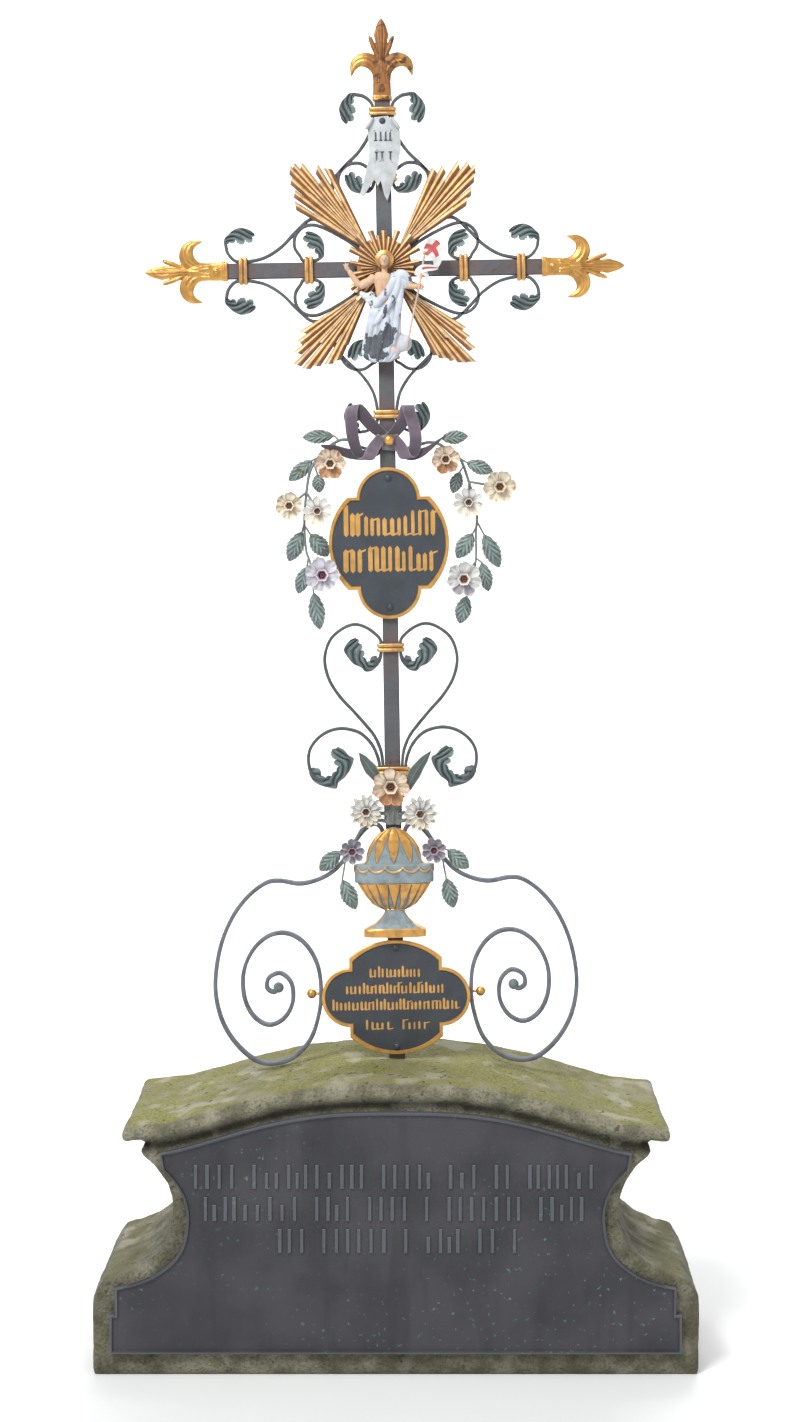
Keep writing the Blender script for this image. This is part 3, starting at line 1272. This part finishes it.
def blossom(node, slot, petals, wide, colours, rows=1, narrow=False, inside=AMBER):
    low, high = span(node)
    centre = np.array([(low[0] + high[0]) / 2, high[1], (low[2] + high[2]) / 2])
    radius = (high[0] - low[0]) / 2
    face, rim, under = colours
    cup, throat = (1.5, 0.26) if narrow else (3.5, 0.34)

    def outer_paint(t, w, s):
        edge = np.clip(np.maximum((t - 0.86) / 0.12, (np.abs(w) - 0.78) / 0.2), 0, 1)[..., None]
        core = np.clip((0.42 - t) / 0.3, 0, 1)[..., None] * np.ones_like(w)[..., None]
        body = blend(face, under, max(0.0, -s))
        return blend(blend(body, BROWN_DIRT, core), rim, edge)

    shape = Shape()
    spin = random.uniform(0, 1)
    for row in range(rows):
        for i in range(petals):
            angle = 2 * math.pi * (i + spin + 0.5 * row) / petals + random.uniform(-0.06, 0.06)
            far = radius * (1 - 0.18 * row) * random.uniform(0.97, 1.05)
            depth = (1.0 + 2 * row, 5.5 + 2 * row)
            petal(shape, centre, angle, radius * 0.1, far, radius * wide, depth, cup, outer_paint)
    trumpet(shape, centre - (0, 1.5, 0), radius * 0.15, radius * throat, 10.5, face, inside)
    for x, z in oval(centre[0], centre[2], radius * 0.09, radius * 0.09, 7):
        blob(shape, (x, centre[1] - 6.0, z), (1.5, 2.6, 1.5), CORE, 0.0, 6, 8)
    blob(shape, (centre[0], centre[1] - 1.2, centre[2]), (radius * 0.22, 1.2, radius * 0.22), STEM_GREEN)
    piece(node, shape, slot, sharp=60.0)


def flowers():
    lower_ones = {"left": ((LILAC, WHITE, LILAC), MAGENTA), "right": ((WHITE, WHITE, MAUVE), AMBER)}
    for side, (lower, heart) in lower_ones.items():
        blossom(f"wreath_flower_top_{side}", "cream_flowers", 6, 0.42, (CREAM, ORANGE, AMBER))
        blossom(f"wreath_flower_outer_{side}", "cream_flowers", 6, 0.42, (CREAM, CREAM, CREAM))
        blossom(f"wreath_flower_middle_{side}", "pale_flowers", 9, 0.24, (WHITE, CREAM, CREAM), narrow=True)
        blossom(f"wreath_flower_lower_{side}", "pale_flowers", 7, 0.37, lower, inside=heart)
        blossom(f"bouquet_daisy_{side}", "pale_flowers", 12, 0.14, (WHITE, CREAM, CREAM), rows=2, narrow=True)
        blossom(f"bouquet_flower_{side}", "pale_flowers", 8, 0.3, (MAUVE, LILAC, MAUVE), inside=MAGENTA)
    blossom("bouquet_flower_top", "cream_flowers", 7, 0.34, (CREAM, ORANGE, AMBER))


def bouquet_stems():
    top = span("urn")[1][2]
    plane = -9.5
    shape = Shape()
    for i in range(26):
        h = 6 + 62 * i / 25
        for k in range(5):
            angle = math.pi * (0.08 + 0.21 * k) + 0.13 * (i % 2)
            x, y = 13 * math.cos(angle), -6 - 8 * math.sin(angle)
            limb(shape, [(x * 0.5, y * 0.7, top + h), (x, y, top + h + 5), (x * 1.15, y - 0.6, top + h + 8)],
                 [1.5, 1.3, 0.4], STEM_GREEN, step=3.0)
    slab(shape, rectangle(-11, 11, top + 4, top + 76), -11, SEAT, STEM_GREEN)
    for root, base, tip in (((-5, 46), (-20, 72), (-53, 120)), ((5, 41), (20, 58), (62, 121))):
        lance_leaf(shape, *((x, top + h) for x, h in (root, base, tip)), 21, -12.5)
    for side in (-1, 1):
        arch = [(8, 9), (30, 11), (48, 0), (66, -30), (80, -58)]
        limb(shape, [(side * x, plane, top + h) for x, h in arch], [3, 3, 3, 2.5, 2], STEM_GREEN)
        limb(shape, [(side * 8, -11, top + 22), (side * 43, -11, top + 24)], [3, 3], STEM_GREEN)
        hanging = 62 if side < 0 else 94
        for root, base, tip in (((66, -31), (86, -38), (119, -68)), ((78, -55), (83, -84), (hanging, -131))):
            foliage_leaf(shape, *((side * x, top + h) for x, h in (root, base, tip)), 25, plane)
    piece("bouquet_stems", shape, "foliage", sharp=60.0)


def lance_leaf(shape, root, base, tip, width, depth):
    """Long smooth leaf with a sharp fold."""
    path = spline([root, base, ((base[0] + tip[0]) / 2 - 2, (base[1] + tip[1]) / 2 + 2), tip], 30)
    t = np.linspace(0, 1, 30)[:, None]
    w = np.linspace(-1, 1, 9)[None, :]
    along = np.gradient(path, axis=0)
    along /= np.linalg.norm(along, axis=1)[:, None]
    across = np.stack([-along[:, 1], along[:, 0]], axis=1)
    half = width / 2 * np.interp(t, [0, 0.3, 0.6, 0.85, 1], [0.18, 0.55, 1.0, 0.6, 0.04])
    spot = path[:, None] + across[:, None] * (half * w)[..., None]
    y = depth + 2.5 * np.abs(w) * np.sin(math.pi * t) - 0.3 * np.cos(w * 12)
    sheet(shape, spot[..., 0], spot[..., 1], y, y + 1.3, STEM_GREEN)


# Urn

def urn():
    low, high = span("urn")
    foot, top, back = low[2], high[2], high[1]
    height = top - foot
    profile = [(0, 49.5), (0.06, 49.5), (0.07, 47), (0.085, 42), (0.12, 30), (0.17, 21.5), (0.21, 17),
               (0.235, 16), (0.25, 19), (0.3, 33), (0.37, 43), (0.43, 50), (0.485, 55.5), (0.495, 57),
               (0.5, 62.5), (0.52, 63), (0.645, 63), (0.66, 62), (0.675, 47), (0.69, 45), (0.75, 42.5),
               (0.82, 38.5), (0.89, 31), (0.95, 20.5), (0.985, 10), (1, 3)]
    shares, widths = np.array(profile).T
    levels = np.unique(np.concatenate([np.linspace(0, 1, 150), shares]))
    angles = np.linspace(0, math.pi, 121)
    across = np.cos(angles)[None, :]
    turn = (angles / math.pi)[None, :]
    s = levels[:, None]
    wide = np.interp(levels, shares, widths)[:, None]

    def leaf_mask(count, start, end, shift=0.0, blunt=0.75):
        """1 on pointed leaves that hang or stand between two levels, widest at start."""
        place = (turn * count + shift) % 1.0
        along = np.clip((s - start) / (end - start), 0, 1)
        inside = np.clip((0.5 * (1 - along**1.6) * blunt + 0.05 - np.abs(place - 0.5)) * 14, 0, 1)
        return inside * (s >= min(start, end)) * (s <= max(start, end)), place

    pendants, place = leaf_mask(5, 0.99, 0.69, 0.0, 1.0)
    gadroons, flute = leaf_mask(9, 0.49, 0.25, 0.0, 0.92)
    ring = 0.65 - 0.05 * np.abs(np.sin(math.pi * turn * 7.0)) ** 0.6
    scallops = np.clip(1.3 - np.abs(s - ring) / 0.011, 0, 1) * (s > 0.51) * (s < 0.67)
    rims = ((s < 0.075) | ((s > 0.245) & (s < 0.262))) * np.ones_like(turn)
    foot_edge = ((s < 0.24) & (np.abs(across) > 0.93)) * 1.0
    dome_edge = ((s > 0.67) & (np.abs(across) > 0.96)) * 1.0
    rise = 2.4 * pendants * np.cos((place - 0.5) * 2.2) + 2.6 * gadroons * np.cos((flute - 0.5) * 2.6)
    rise += 1.6 * scallops - 1.0 * (1 - gadroons) * ((s > 0.25) & (s < 0.485))
    depth = (back - low[1] - 5) * np.interp(wide, [0, 16, 45, 63], [0.3, 0.45, 0.85, 1.0])
    flat_foot = np.clip((0.075 - s) / 0.01, 0, 1)
    bulge = np.abs(np.sin(angles))[None, :] ** 0.5
    x = (wide + rise) * np.sign(across) * np.abs(across) ** (1 - 0.3 * flat_foot)
    y = back - 3 - (depth + rise) * bulge
    z = foot + height * s * np.ones_like(turn)
    gild = np.clip(pendants + gadroons + scallops + rims + foot_edge + dome_edge, 0, 1)
    paint = blend(URN_BLUE, GOLD, gild[..., None])
    left, right = grid(x[:, -1:], back, z[:, -1:]), grid(x[:, :1], back, z[:, :1])
    rings = np.concatenate([grid(x, y, z), left, right], axis=1)
    paint = np.concatenate([paint, np.broadcast_to(URN_BLUE, (len(levels), 2, 3))], axis=1)
    gild = np.concatenate([gild, np.zeros((len(levels), 2))], axis=1)
    shape = Shape()
    loft(shape, rings, paint, gild * 0.9)
    piece("urn", shape, "urn", sharp=40.0)


# Figure and banner

FIGURE_BACK = span("sunburst_centre")[0][1] - 0.5


def put(x, y, h):
    """Place on the figure: across, forward from its back, and up from the crossing."""
    return (x, FIGURE_BACK - y, CROSSING + h)


def figure_body():
    skin = Shape()
    trunk = [put(0, 6, -58), put(-2, 7, -36), put(-3, 8, -18), put(-2, 7, -8)]
    limb(skin, trunk, [12, 12.5, 15, 11], flat=0.6)
    limb(skin, [put(0, 6, -12), put(0, 6.5, 0), put(0, 7, 4)], [5.5, 4.4, 4.4])
    limb(skin, [put(-15, 6, -14), put(-28, 7, -24), put(-41, 7, -30)], [7.5, 6.6, 5.6], flat=0.8)
    limb(skin, [put(-40, 7, -30), put(-49, 8, -16), put(-57, 8.5, -4)], [5.4, 5.0, 3.6], flat=0.85)
    limb(skin, [put(-56, 8.5, -5), put(-60, 9, 0), put(-62, 9, 5)], [4.0, 3.8, 2.2], flat=0.5)
    for x, h in ((-66, 6), (-62, 9), (-57, 8)):
        limb(skin, [put(-60, 9, 1), put(x, 9.2, h)], [2.0, 1.1], flat=0.8)
    limb(skin, [put(31, 7, -29), put(44, 8.5, -31), put(55, 9.5, -31)], [5.6, 4.8, 3.6], flat=0.85)
    blob(skin, put(58, 10, -32), (4.6, 3.4, 4.2))
    for i in range(4):
        limb(skin, [put(56, 12.4, -28 - 2.6 * i), put(61, 12.6, -29 - 2.6 * i)], [1.5, 1.2])
    blob(skin, put(0, 8, 11), (7.6, 7.6, 9.6), rings=18, around=24)
    blob(skin, put(0, 9, 5), (5.6, 6.6, 5.4))
    limb(skin, [put(0, 15.6, 13), put(0, 17.2, 8.5)], [0.8, 1.5])
    body = cast(skin, 0.7, SKIN)
    face = body.points - np.array(put(0, 0, 0))
    for side in (-1, 1):
        eye = np.exp(-((face[:, 0] - side * 3) ** 2 + (face[:, 2] - 12.2) ** 2) / 3.2) * (face[:, 1] < -11)
        body.points[:, 1] += 0.9 * eye
        body.paint = body.paint * (1 - 0.45 * eye[:, None])
    lips = np.exp(-(face[:, 0] ** 2 / 6 + (face[:, 2] - 5.6) ** 2 / 0.9)) * (face[:, 1] < -11)
    body.paint = body.paint * (1 - lips[:, None] * np.array([0.15, 0.5, 0.5]))
    return body


def figure_hair():
    hair = Shape()
    blob(hair, put(0, 5.6, 13), (8.6, 7.6, 9.6), rings=16, around=24)
    for side in (-1, 1):
        limb(hair, [put(side * 6, 9, 17), put(side * 7.2, 8, 8), put(side * 7, 6, -1)], [2.8, 2.4, 1.4])
    blob(hair, put(0, 11.5, 1.6), (4.4, 4.4, 4.0))
    return cast(hair, 0.8, HAIR)


# Runs of the robe's raised folds, as put takes them, and their radii
ROBE_FOLDS = [
    ([(16, 8, -8), (14, 11.5, -22), (4, 13, -40), (-10, 13, -54), (-17, 10, -62)], [6, 7, 7, 6, 4]),
    ([(22, 8, -10), (20, 11.5, -30), (12, 13.5, -50), (-2, 14, -70), (-18, 12, -92)], [6, 7, 6, 5, 4]),
    ([(27, 7, -12), (25, 10, -36), (22, 12, -62), (16, 13, -96), (12, 12, -124)], [6, 6, 6, 5, 3]),
    ([(18, 7, -9), (29, 9, -12), (38, 8.5, -20), (37, 8, -30)], [6, 8, 6, 3.5]),
    ([(24, 8, -18), (31, 9, -26), (34, 8, -34)], [6, 6, 4]),
    ([(-17, 5, -42), (-27, 6, -46), (-36, 6, -42), (-38, 5, -37)], [7, 6.5, 4.5, 2.5]),
    ([(-12, 7, -50), (-22, 7, -53), (-31, 6, -50)], [6, 6, 3.5]),
    ([(-12, 11, -66), (-22, 10, -94), (-27, 8, -122)], [4.5, 4.5, 3]),
    ([(4, 13, -80), (-4, 13, -106), (-12, 11, -138)], [4.5, 4.5, 3]),
    ([(19, 10, -60), (21, 10, -84), (22, 8, -106)], [4, 4, 3]),
]


def figure_robe():
    """Long robe with folds and a hanging sleeve."""
    t = np.linspace(0, 1, 60)[:, None]
    angle = np.linspace(0, math.pi, 49)[None, :]
    h = -48 - 102 * t
    left = np.interp(t, [0, 0.1, 0.25, 0.5, 0.7, 0.85, 0.95, 1], [-18, -23, -27, -32, -37, -39, -34, -24])
    right = np.interp(t, [0, 0.1, 0.25, 0.5, 0.7, 0.85, 0.95, 1], [24, 25, 25, 25, 27, 25, 16, 6])
    centre, half = (left + right) / 2, (right - left) / 2
    folds = 1.5 * np.cos(angle * 11 + 2.2 * t * math.pi) * np.clip(t * 2, 0, 1) * np.sin(angle)
    folds += 1.0 * np.cos(angle * 23 - 3 * t) * np.clip(t * 1.5, 0, 1) * np.sin(angle)
    depth = (9.5 + folds + 2.5 * np.sin(math.pi * t)) * np.sin(angle) ** 0.7
    robe = Shape()
    x = centre + half * np.cos(angle)
    sheet(robe, x, CROSSING + h, FIGURE_BACK - 1 - depth, FIGURE_BACK)
    for path, radii in ROBE_FOLDS:
        limb(robe, [put(x, y, h) for x, y, h in path], radii, flat=0.75)
    return peeled(cast(robe, 0.8, ROBE))


def peeled(robe):
    """Bares the dark undercoat in one broad patch low down and in small flakes."""
    local = robe.points - np.array((0, 0, CROSSING))
    patch = np.array([noise.fractal(Vector(p * 0.055), 0.8, 2.0, 4) for p in robe.points])
    levels = [-146, -143, -137, -124, -110, -97, -90, -86]
    centre = np.interp(local[:, 2], levels, [-14, -14, -16, -13, -4, 6, 2, 0])
    half = np.interp(local[:, 2], levels, [0, 12, 19, 20, 14, 10, 6, 0])
    inside = np.clip((half - np.abs(local[:, 0] - centre) + 16 * patch) / 1.5, 0, 1)
    bare = np.maximum(inside, np.clip((1.6 * patch - 0.8) * 9, 0, 1))[:, None]
    robe.paint = blend(ROBE, PEELED, bare)
    robe.points[:, 1] += 0.35 * bare[:, 0] * (robe.points[:, 1] < FIGURE_BACK - 3)
    return robe


def figure_clouds():
    """Low clouds under the robe, with one foot showing."""
    clouds = Shape()
    for x, h, wide, tall in ((-22, -139, 14, 9), (-8, -141, 14, 8), (12, -131, 12, 9), (25, -120, 13, 15),
                             (33, -120, 9, 13)):
        blob(clouds, put(x, 5, h), (wide, 6, tall))
    clouds = cast(clouds, 1.0, ROBE)
    x, z = clouds.points[:, 0], clouds.points[:, 2] - CROSSING
    foot = np.exp(-((x - 14) ** 2 + (z + 126) ** 2) / 60)[:, None]
    clouds.paint = np.where(clouds.points[:, :1] > 6, np.array(ROBE), np.array(PEELED))
    clouds.paint = blend(clouds.paint, SKIN, foot)
    return clouds


def figure():
    shape = Shape()
    for part in (figure_body(), figure_hair(), figure_robe(), figure_clouds()):
        shape.join(part)
    far = np.where(np.arange(72) % 3, 15.4, 14.6)
    halo = oval(0, CROSSING + 13.5, far, far, 72)
    slab(shape, halo, FIGURE_BACK - 2.4, FIGURE_BACK, GOLD, 1.0, 0.5)
    bracket = rectangle(-8, 8, CROSSING - 107, CROSSING - 73)
    slab(shape, bracket, FIGURE_BACK - 1, SEAT, PEELED)
    piece("figure", shape, "figure", sharp=60.0)


def banner():
    low, high = span("banner")
    plane = (low[1] + high[1]) / 2
    shape = Shape()

    def fold(upper, lower, lift, bar_at):
        a, b = spline(upper, 34), spline(lower, 34)
        v = np.linspace(0, 1, 17)[None, :]
        flat = blend(a[:, None], b[:, None], v[..., None])
        u = np.linspace(0, 1, 34)[:, None]
        depth = plane + lift + 1.5 * np.sin(2 * math.pi * (u + 0.3 * v))
        red = (np.abs(v - 0.5) < 0.13) & (u < 0.62) | (np.abs(u - bar_at) < 0.085)
        paint = np.where(red[..., None], np.array(FLAG_RED), np.array(WHITE))
        sheet(shape, flat[..., 0], CROSSING + flat[..., 1], depth - 0.7, depth + 0.7, paint)

    fold([(70, 45), (79, 44), (88, 38), (92, 28), (92, 17), (90, 6), (84, -4)],
         [(58, 19), (62, 19), (67, 17), (73, 13), (77, 8), (78, 3), (76, -3)], 0.5, 0.3)
    fold([(85, -1), (77, 2), (68, 3), (58, 2), (50, -4), (47, -12)],
         [(85, -5), (77, -7), (69, -8), (63, -10), (60, -14), (58, -21)], -0.8, -1.0)
    fold([(50, -12), (56, -11), (63, -10), (68, -8)], [(57, -21), (61, -20), (66, -21), (73, -23)], 0.9, -1.0)
    limb(shape, [(64, plane, CROSSING + 20), (54, plane, CROSSING - 35), (43, plane, CROSSING - 83),
                 (33, plane, CROSSING - 131)], [1.8, 1.8], STAFF)
    blob(shape, (64.5, plane, CROSSING + 21), (2.6, 2.6, 3.2), GOLD, 1.0)
    piece("banner", shape, "banner", sharp=50.0)


# Plinth and its bronze plate, in millimetres up from its underside and out from its middle

BASE_TOP = 146.0
WAIST_HALF, WAIST_LEVEL = 342.0, 245.0
NECK_HALF, NECK_LEVEL = 395.0, 340.0
COPING_HALF = 417.0
COPING_END = 381.0
COPING_RISE = 68.0
COPING_THICKNESS = 28.0
# Shares outwards from the waist and upwards, for the stretch below the waist and the one above it
FLARE = [(1, 0), (0.77, 0.05), (0.48, 0.18), (0.2, 0.41), (0.05, 0.68), (0, 1)]
HOLLOW = [(0.02, 0.25), (0.17, 0.5), (0.52, 0.78), (1, 1)]


def coping_surface(x):
    """Height of the coping's top at a distance from the middle."""
    share = np.minimum(np.abs(x) / COPING_HALF, 1)
    return COPING_END + COPING_RISE / 2 * (1 + np.cos(math.pi * share**1.4))


STONE_CELL = 5.5
# Under the coping's top: how far down its nose and the recess below it lie, and how wide they are
NOSE_LEVEL, NOSE_WIDTH = 15.0, 9.0
RECESS_LEVEL, RECESS_WIDTH = 37.0, 8.0


def weathered_stone():
    """The plinth's solid with worn edges and an uneven, tooled surface."""
    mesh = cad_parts["stone_plinth"].data.copy()
    shape = from_mesh(melted(mesh, STONE_CELL * MM, 3), SLATE)
    coarse = np.array([noise.fractal(Vector(p * 9), 0.9, 2.1, 4) for p in shape.points])
    fine = np.array([noise.fractal(Vector(p * 60), 0.8, 2.0, 3) for p in shape.points])
    push = np.where(shape.points[:, 2] < 6 * MM, 0, 1.4 * MM * coarse + 0.7 * MM * fine)
    shape.points = shape.points + read(to_mesh(shape).vertices, "normal", 3) * push[:, None]
    x, z = shape.points[:, 0] / MM, shape.points[:, 2] / MM
    under_top = coping_surface(x) - z
    recess = band(under_top, RECESS_LEVEL, RECESS_WIDTH) * (np.abs(x) < 440)
    shape.points[:, 1] *= 1 - 0.055 * recess
    nose = band(under_top, NOSE_LEVEL, NOSE_WIDTH) * (np.abs(shape.points[:, 1]) > 120 * MM)
    shape.points[:, 1] *= 1 + 0.02 * nose
    waist = band(z, WAIST_LEVEL + 5, 70) * (np.abs(x) > 300)
    shape.gild = np.clip(recess * 1.2 + 0.5 * waist, 0, 1)
    piece("stone_plinth", shape, "stone", place=Matrix.Identity(4), sharp=80.0)


PLATE_FOOT, PLATE_STEP = 36.0, 96.0
# Foot and half length of each row of marks
MARK_ROWS = [(288, 308), (239, 293), (190, 180)]
MARK_TALL, MARK_SHORT = 37, 25
MARK_PITCHES = (13, 15, 17, 19, 19, 34)


def plate_outline(inset):
    """The plate's edge: it follows the plinth's own outline inside a margin."""
    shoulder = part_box("stone_plinth")[1].x / MM - 17
    margin = 22 + inset
    profile = [(WAIST_HALF + (shoulder - WAIST_HALF) * x, BASE_TOP + (WAIST_LEVEL - BASE_TOP) * z)
               for x, z in FLARE]
    profile += [(WAIST_HALF + (NECK_HALF - WAIST_HALF) * x, WAIST_LEVEL + (NECK_LEVEL - WAIST_LEVEL) * z)
                for x, z in HOLLOW]
    sides = [(x - margin, z - margin * 0.4) for x, z in spline(profile, 44)[3:-3]]
    foot_x = sides[0][0] + 18
    step = PLATE_STEP - inset
    half = [(foot_x + 8, PLATE_FOOT + inset), (foot_x + 8, step), (foot_x, step), (foot_x, sides[0][1] - 4)]
    half += sides
    top_half = NECK_HALF - margin - 12
    under_coping = COPING_THICKNESS + 16 + inset
    top = [(x, coping_surface(x) - under_coping) for x in np.linspace(top_half, -top_half, 61)]
    return half + top + [(-x, z) for x, z in reversed(half)]


def bronze_plate():
    low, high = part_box("bronze_plate")
    back, rim_front = high.y / MM, low.y / MM
    field = rim_front + 3
    levels = [(0, back), (0, rim_front + 1.0), (1.0, rim_front), (4.0, rim_front), (5.0, field), (9.0, field)]
    rings = [flat_to_space(plate_outline(inset), depth) for inset, depth in levels]
    shape = Shape()
    loft(shape, rings)
    random.seed(3)
    for base, half in MARK_ROWS:
        x = -half
        while x < half:
            wide = random.uniform(4.6, 6.0)
            tall = MARK_TALL if random.random() < 0.85 else MARK_SHORT
            mark = rectangle(x, x + wide, base, base + tall)
            slab(shape, mark, field - 2.4, field + 0.3, edge=1.0)
            x += random.choice(MARK_PITCHES)
    piece("bronze_plate", shape, "bronze", place=Matrix.Scale(MM, 4), sharp=35.0)


# Floor, light and camera

def studio():
    floor = placed("floor", bpy.data.meshes.new("floor"))
    profile = [(-9.0, 0.0), (4.0, 0.0)]
    profile += [(4.0 + 3.0 * math.sin(a), 3.0 - 3.0 * math.cos(a)) for a in np.linspace(0.1, math.pi / 2, 16)]
    profile += [(7.0, 10.0)]
    points = [(side * 14, y, z) for y, z in profile for side in (-1, 1)]
    faces = [(2 * i, 2 * i + 1, 2 * i + 3, 2 * i + 2) for i in range(len(profile) - 1)]
    floor.data.from_pydata(points, [], faces)
    floor.data.shade_smooth()
    coat = Coat("floor")
    shade = coat.between(coat.noise(3.0, 2.0), 0.3, 0.7)
    floor.data.materials.append(coat.finish(coat.mix(shade, (0.8, 0.8, 0.79), (0.82, 0.82, 0.81)), 0.9))
    world = bpy.data.worlds.new("soft sky")
    bpy.context.scene.world = world
    world.use_nodes = True
    background = world.node_tree.nodes["Background"]
    background.inputs["Color"].default_value = (0.93, 0.96, 1.0, 1.0)
    background.inputs["Strength"].default_value = 0.55
    bpy.context.scene.view_settings.view_transform = "Standard"
    for name, place, aim, size, power in (
        ("key", (-1.8, -2.6, 4.4), (0, 0, 1.1), 1.6, 210.0),
        ("fill", (3.0, -2.6, 2.2), (0, 0, 1.1), 2.5, 26.0),
        ("rim", (0.8, 2.6, 3.6), (0, 0, 1.4), 2.0, 50.0),
        ("backdrop", (0.0, 2.8, 5.5), (0, 7.0, 2.4), 4.0, 420.0),
    ):
        lamp = bpy.data.lights.new(name, "AREA")
        lamp.size, lamp.energy = size, power
        holder = placed(name, lamp)
        holder.location = place
        holder.rotation_euler = (Vector(aim) - Vector(place)).to_track_quat("-Z", "Y").to_euler()


def camera():
    lens = bpy.data.cameras.new("camera")
    lens.lens = 50.63
    lens.sensor_width = 36.0
    lens.shift_x = -0.020
    lens.shift_y = -0.160
    holder = placed("camera", lens)
    holder.location = (0.050, -3.188, 1.366)
    holder.rotation_euler = (math.radians(90), 0, 0)
    bpy.context.scene.camera = holder


weathered_stone()
bronze_plate()
bars()
arm_scrolls()
heart_and_side_scrolls()
base_scrolls()
collars()
finials()
ray_bundles()
sunburst()
figure()
banner()
title()
bow()
plaques()
wreath()
flowers()
bouquet_stems()
urn()
studio()
camera()
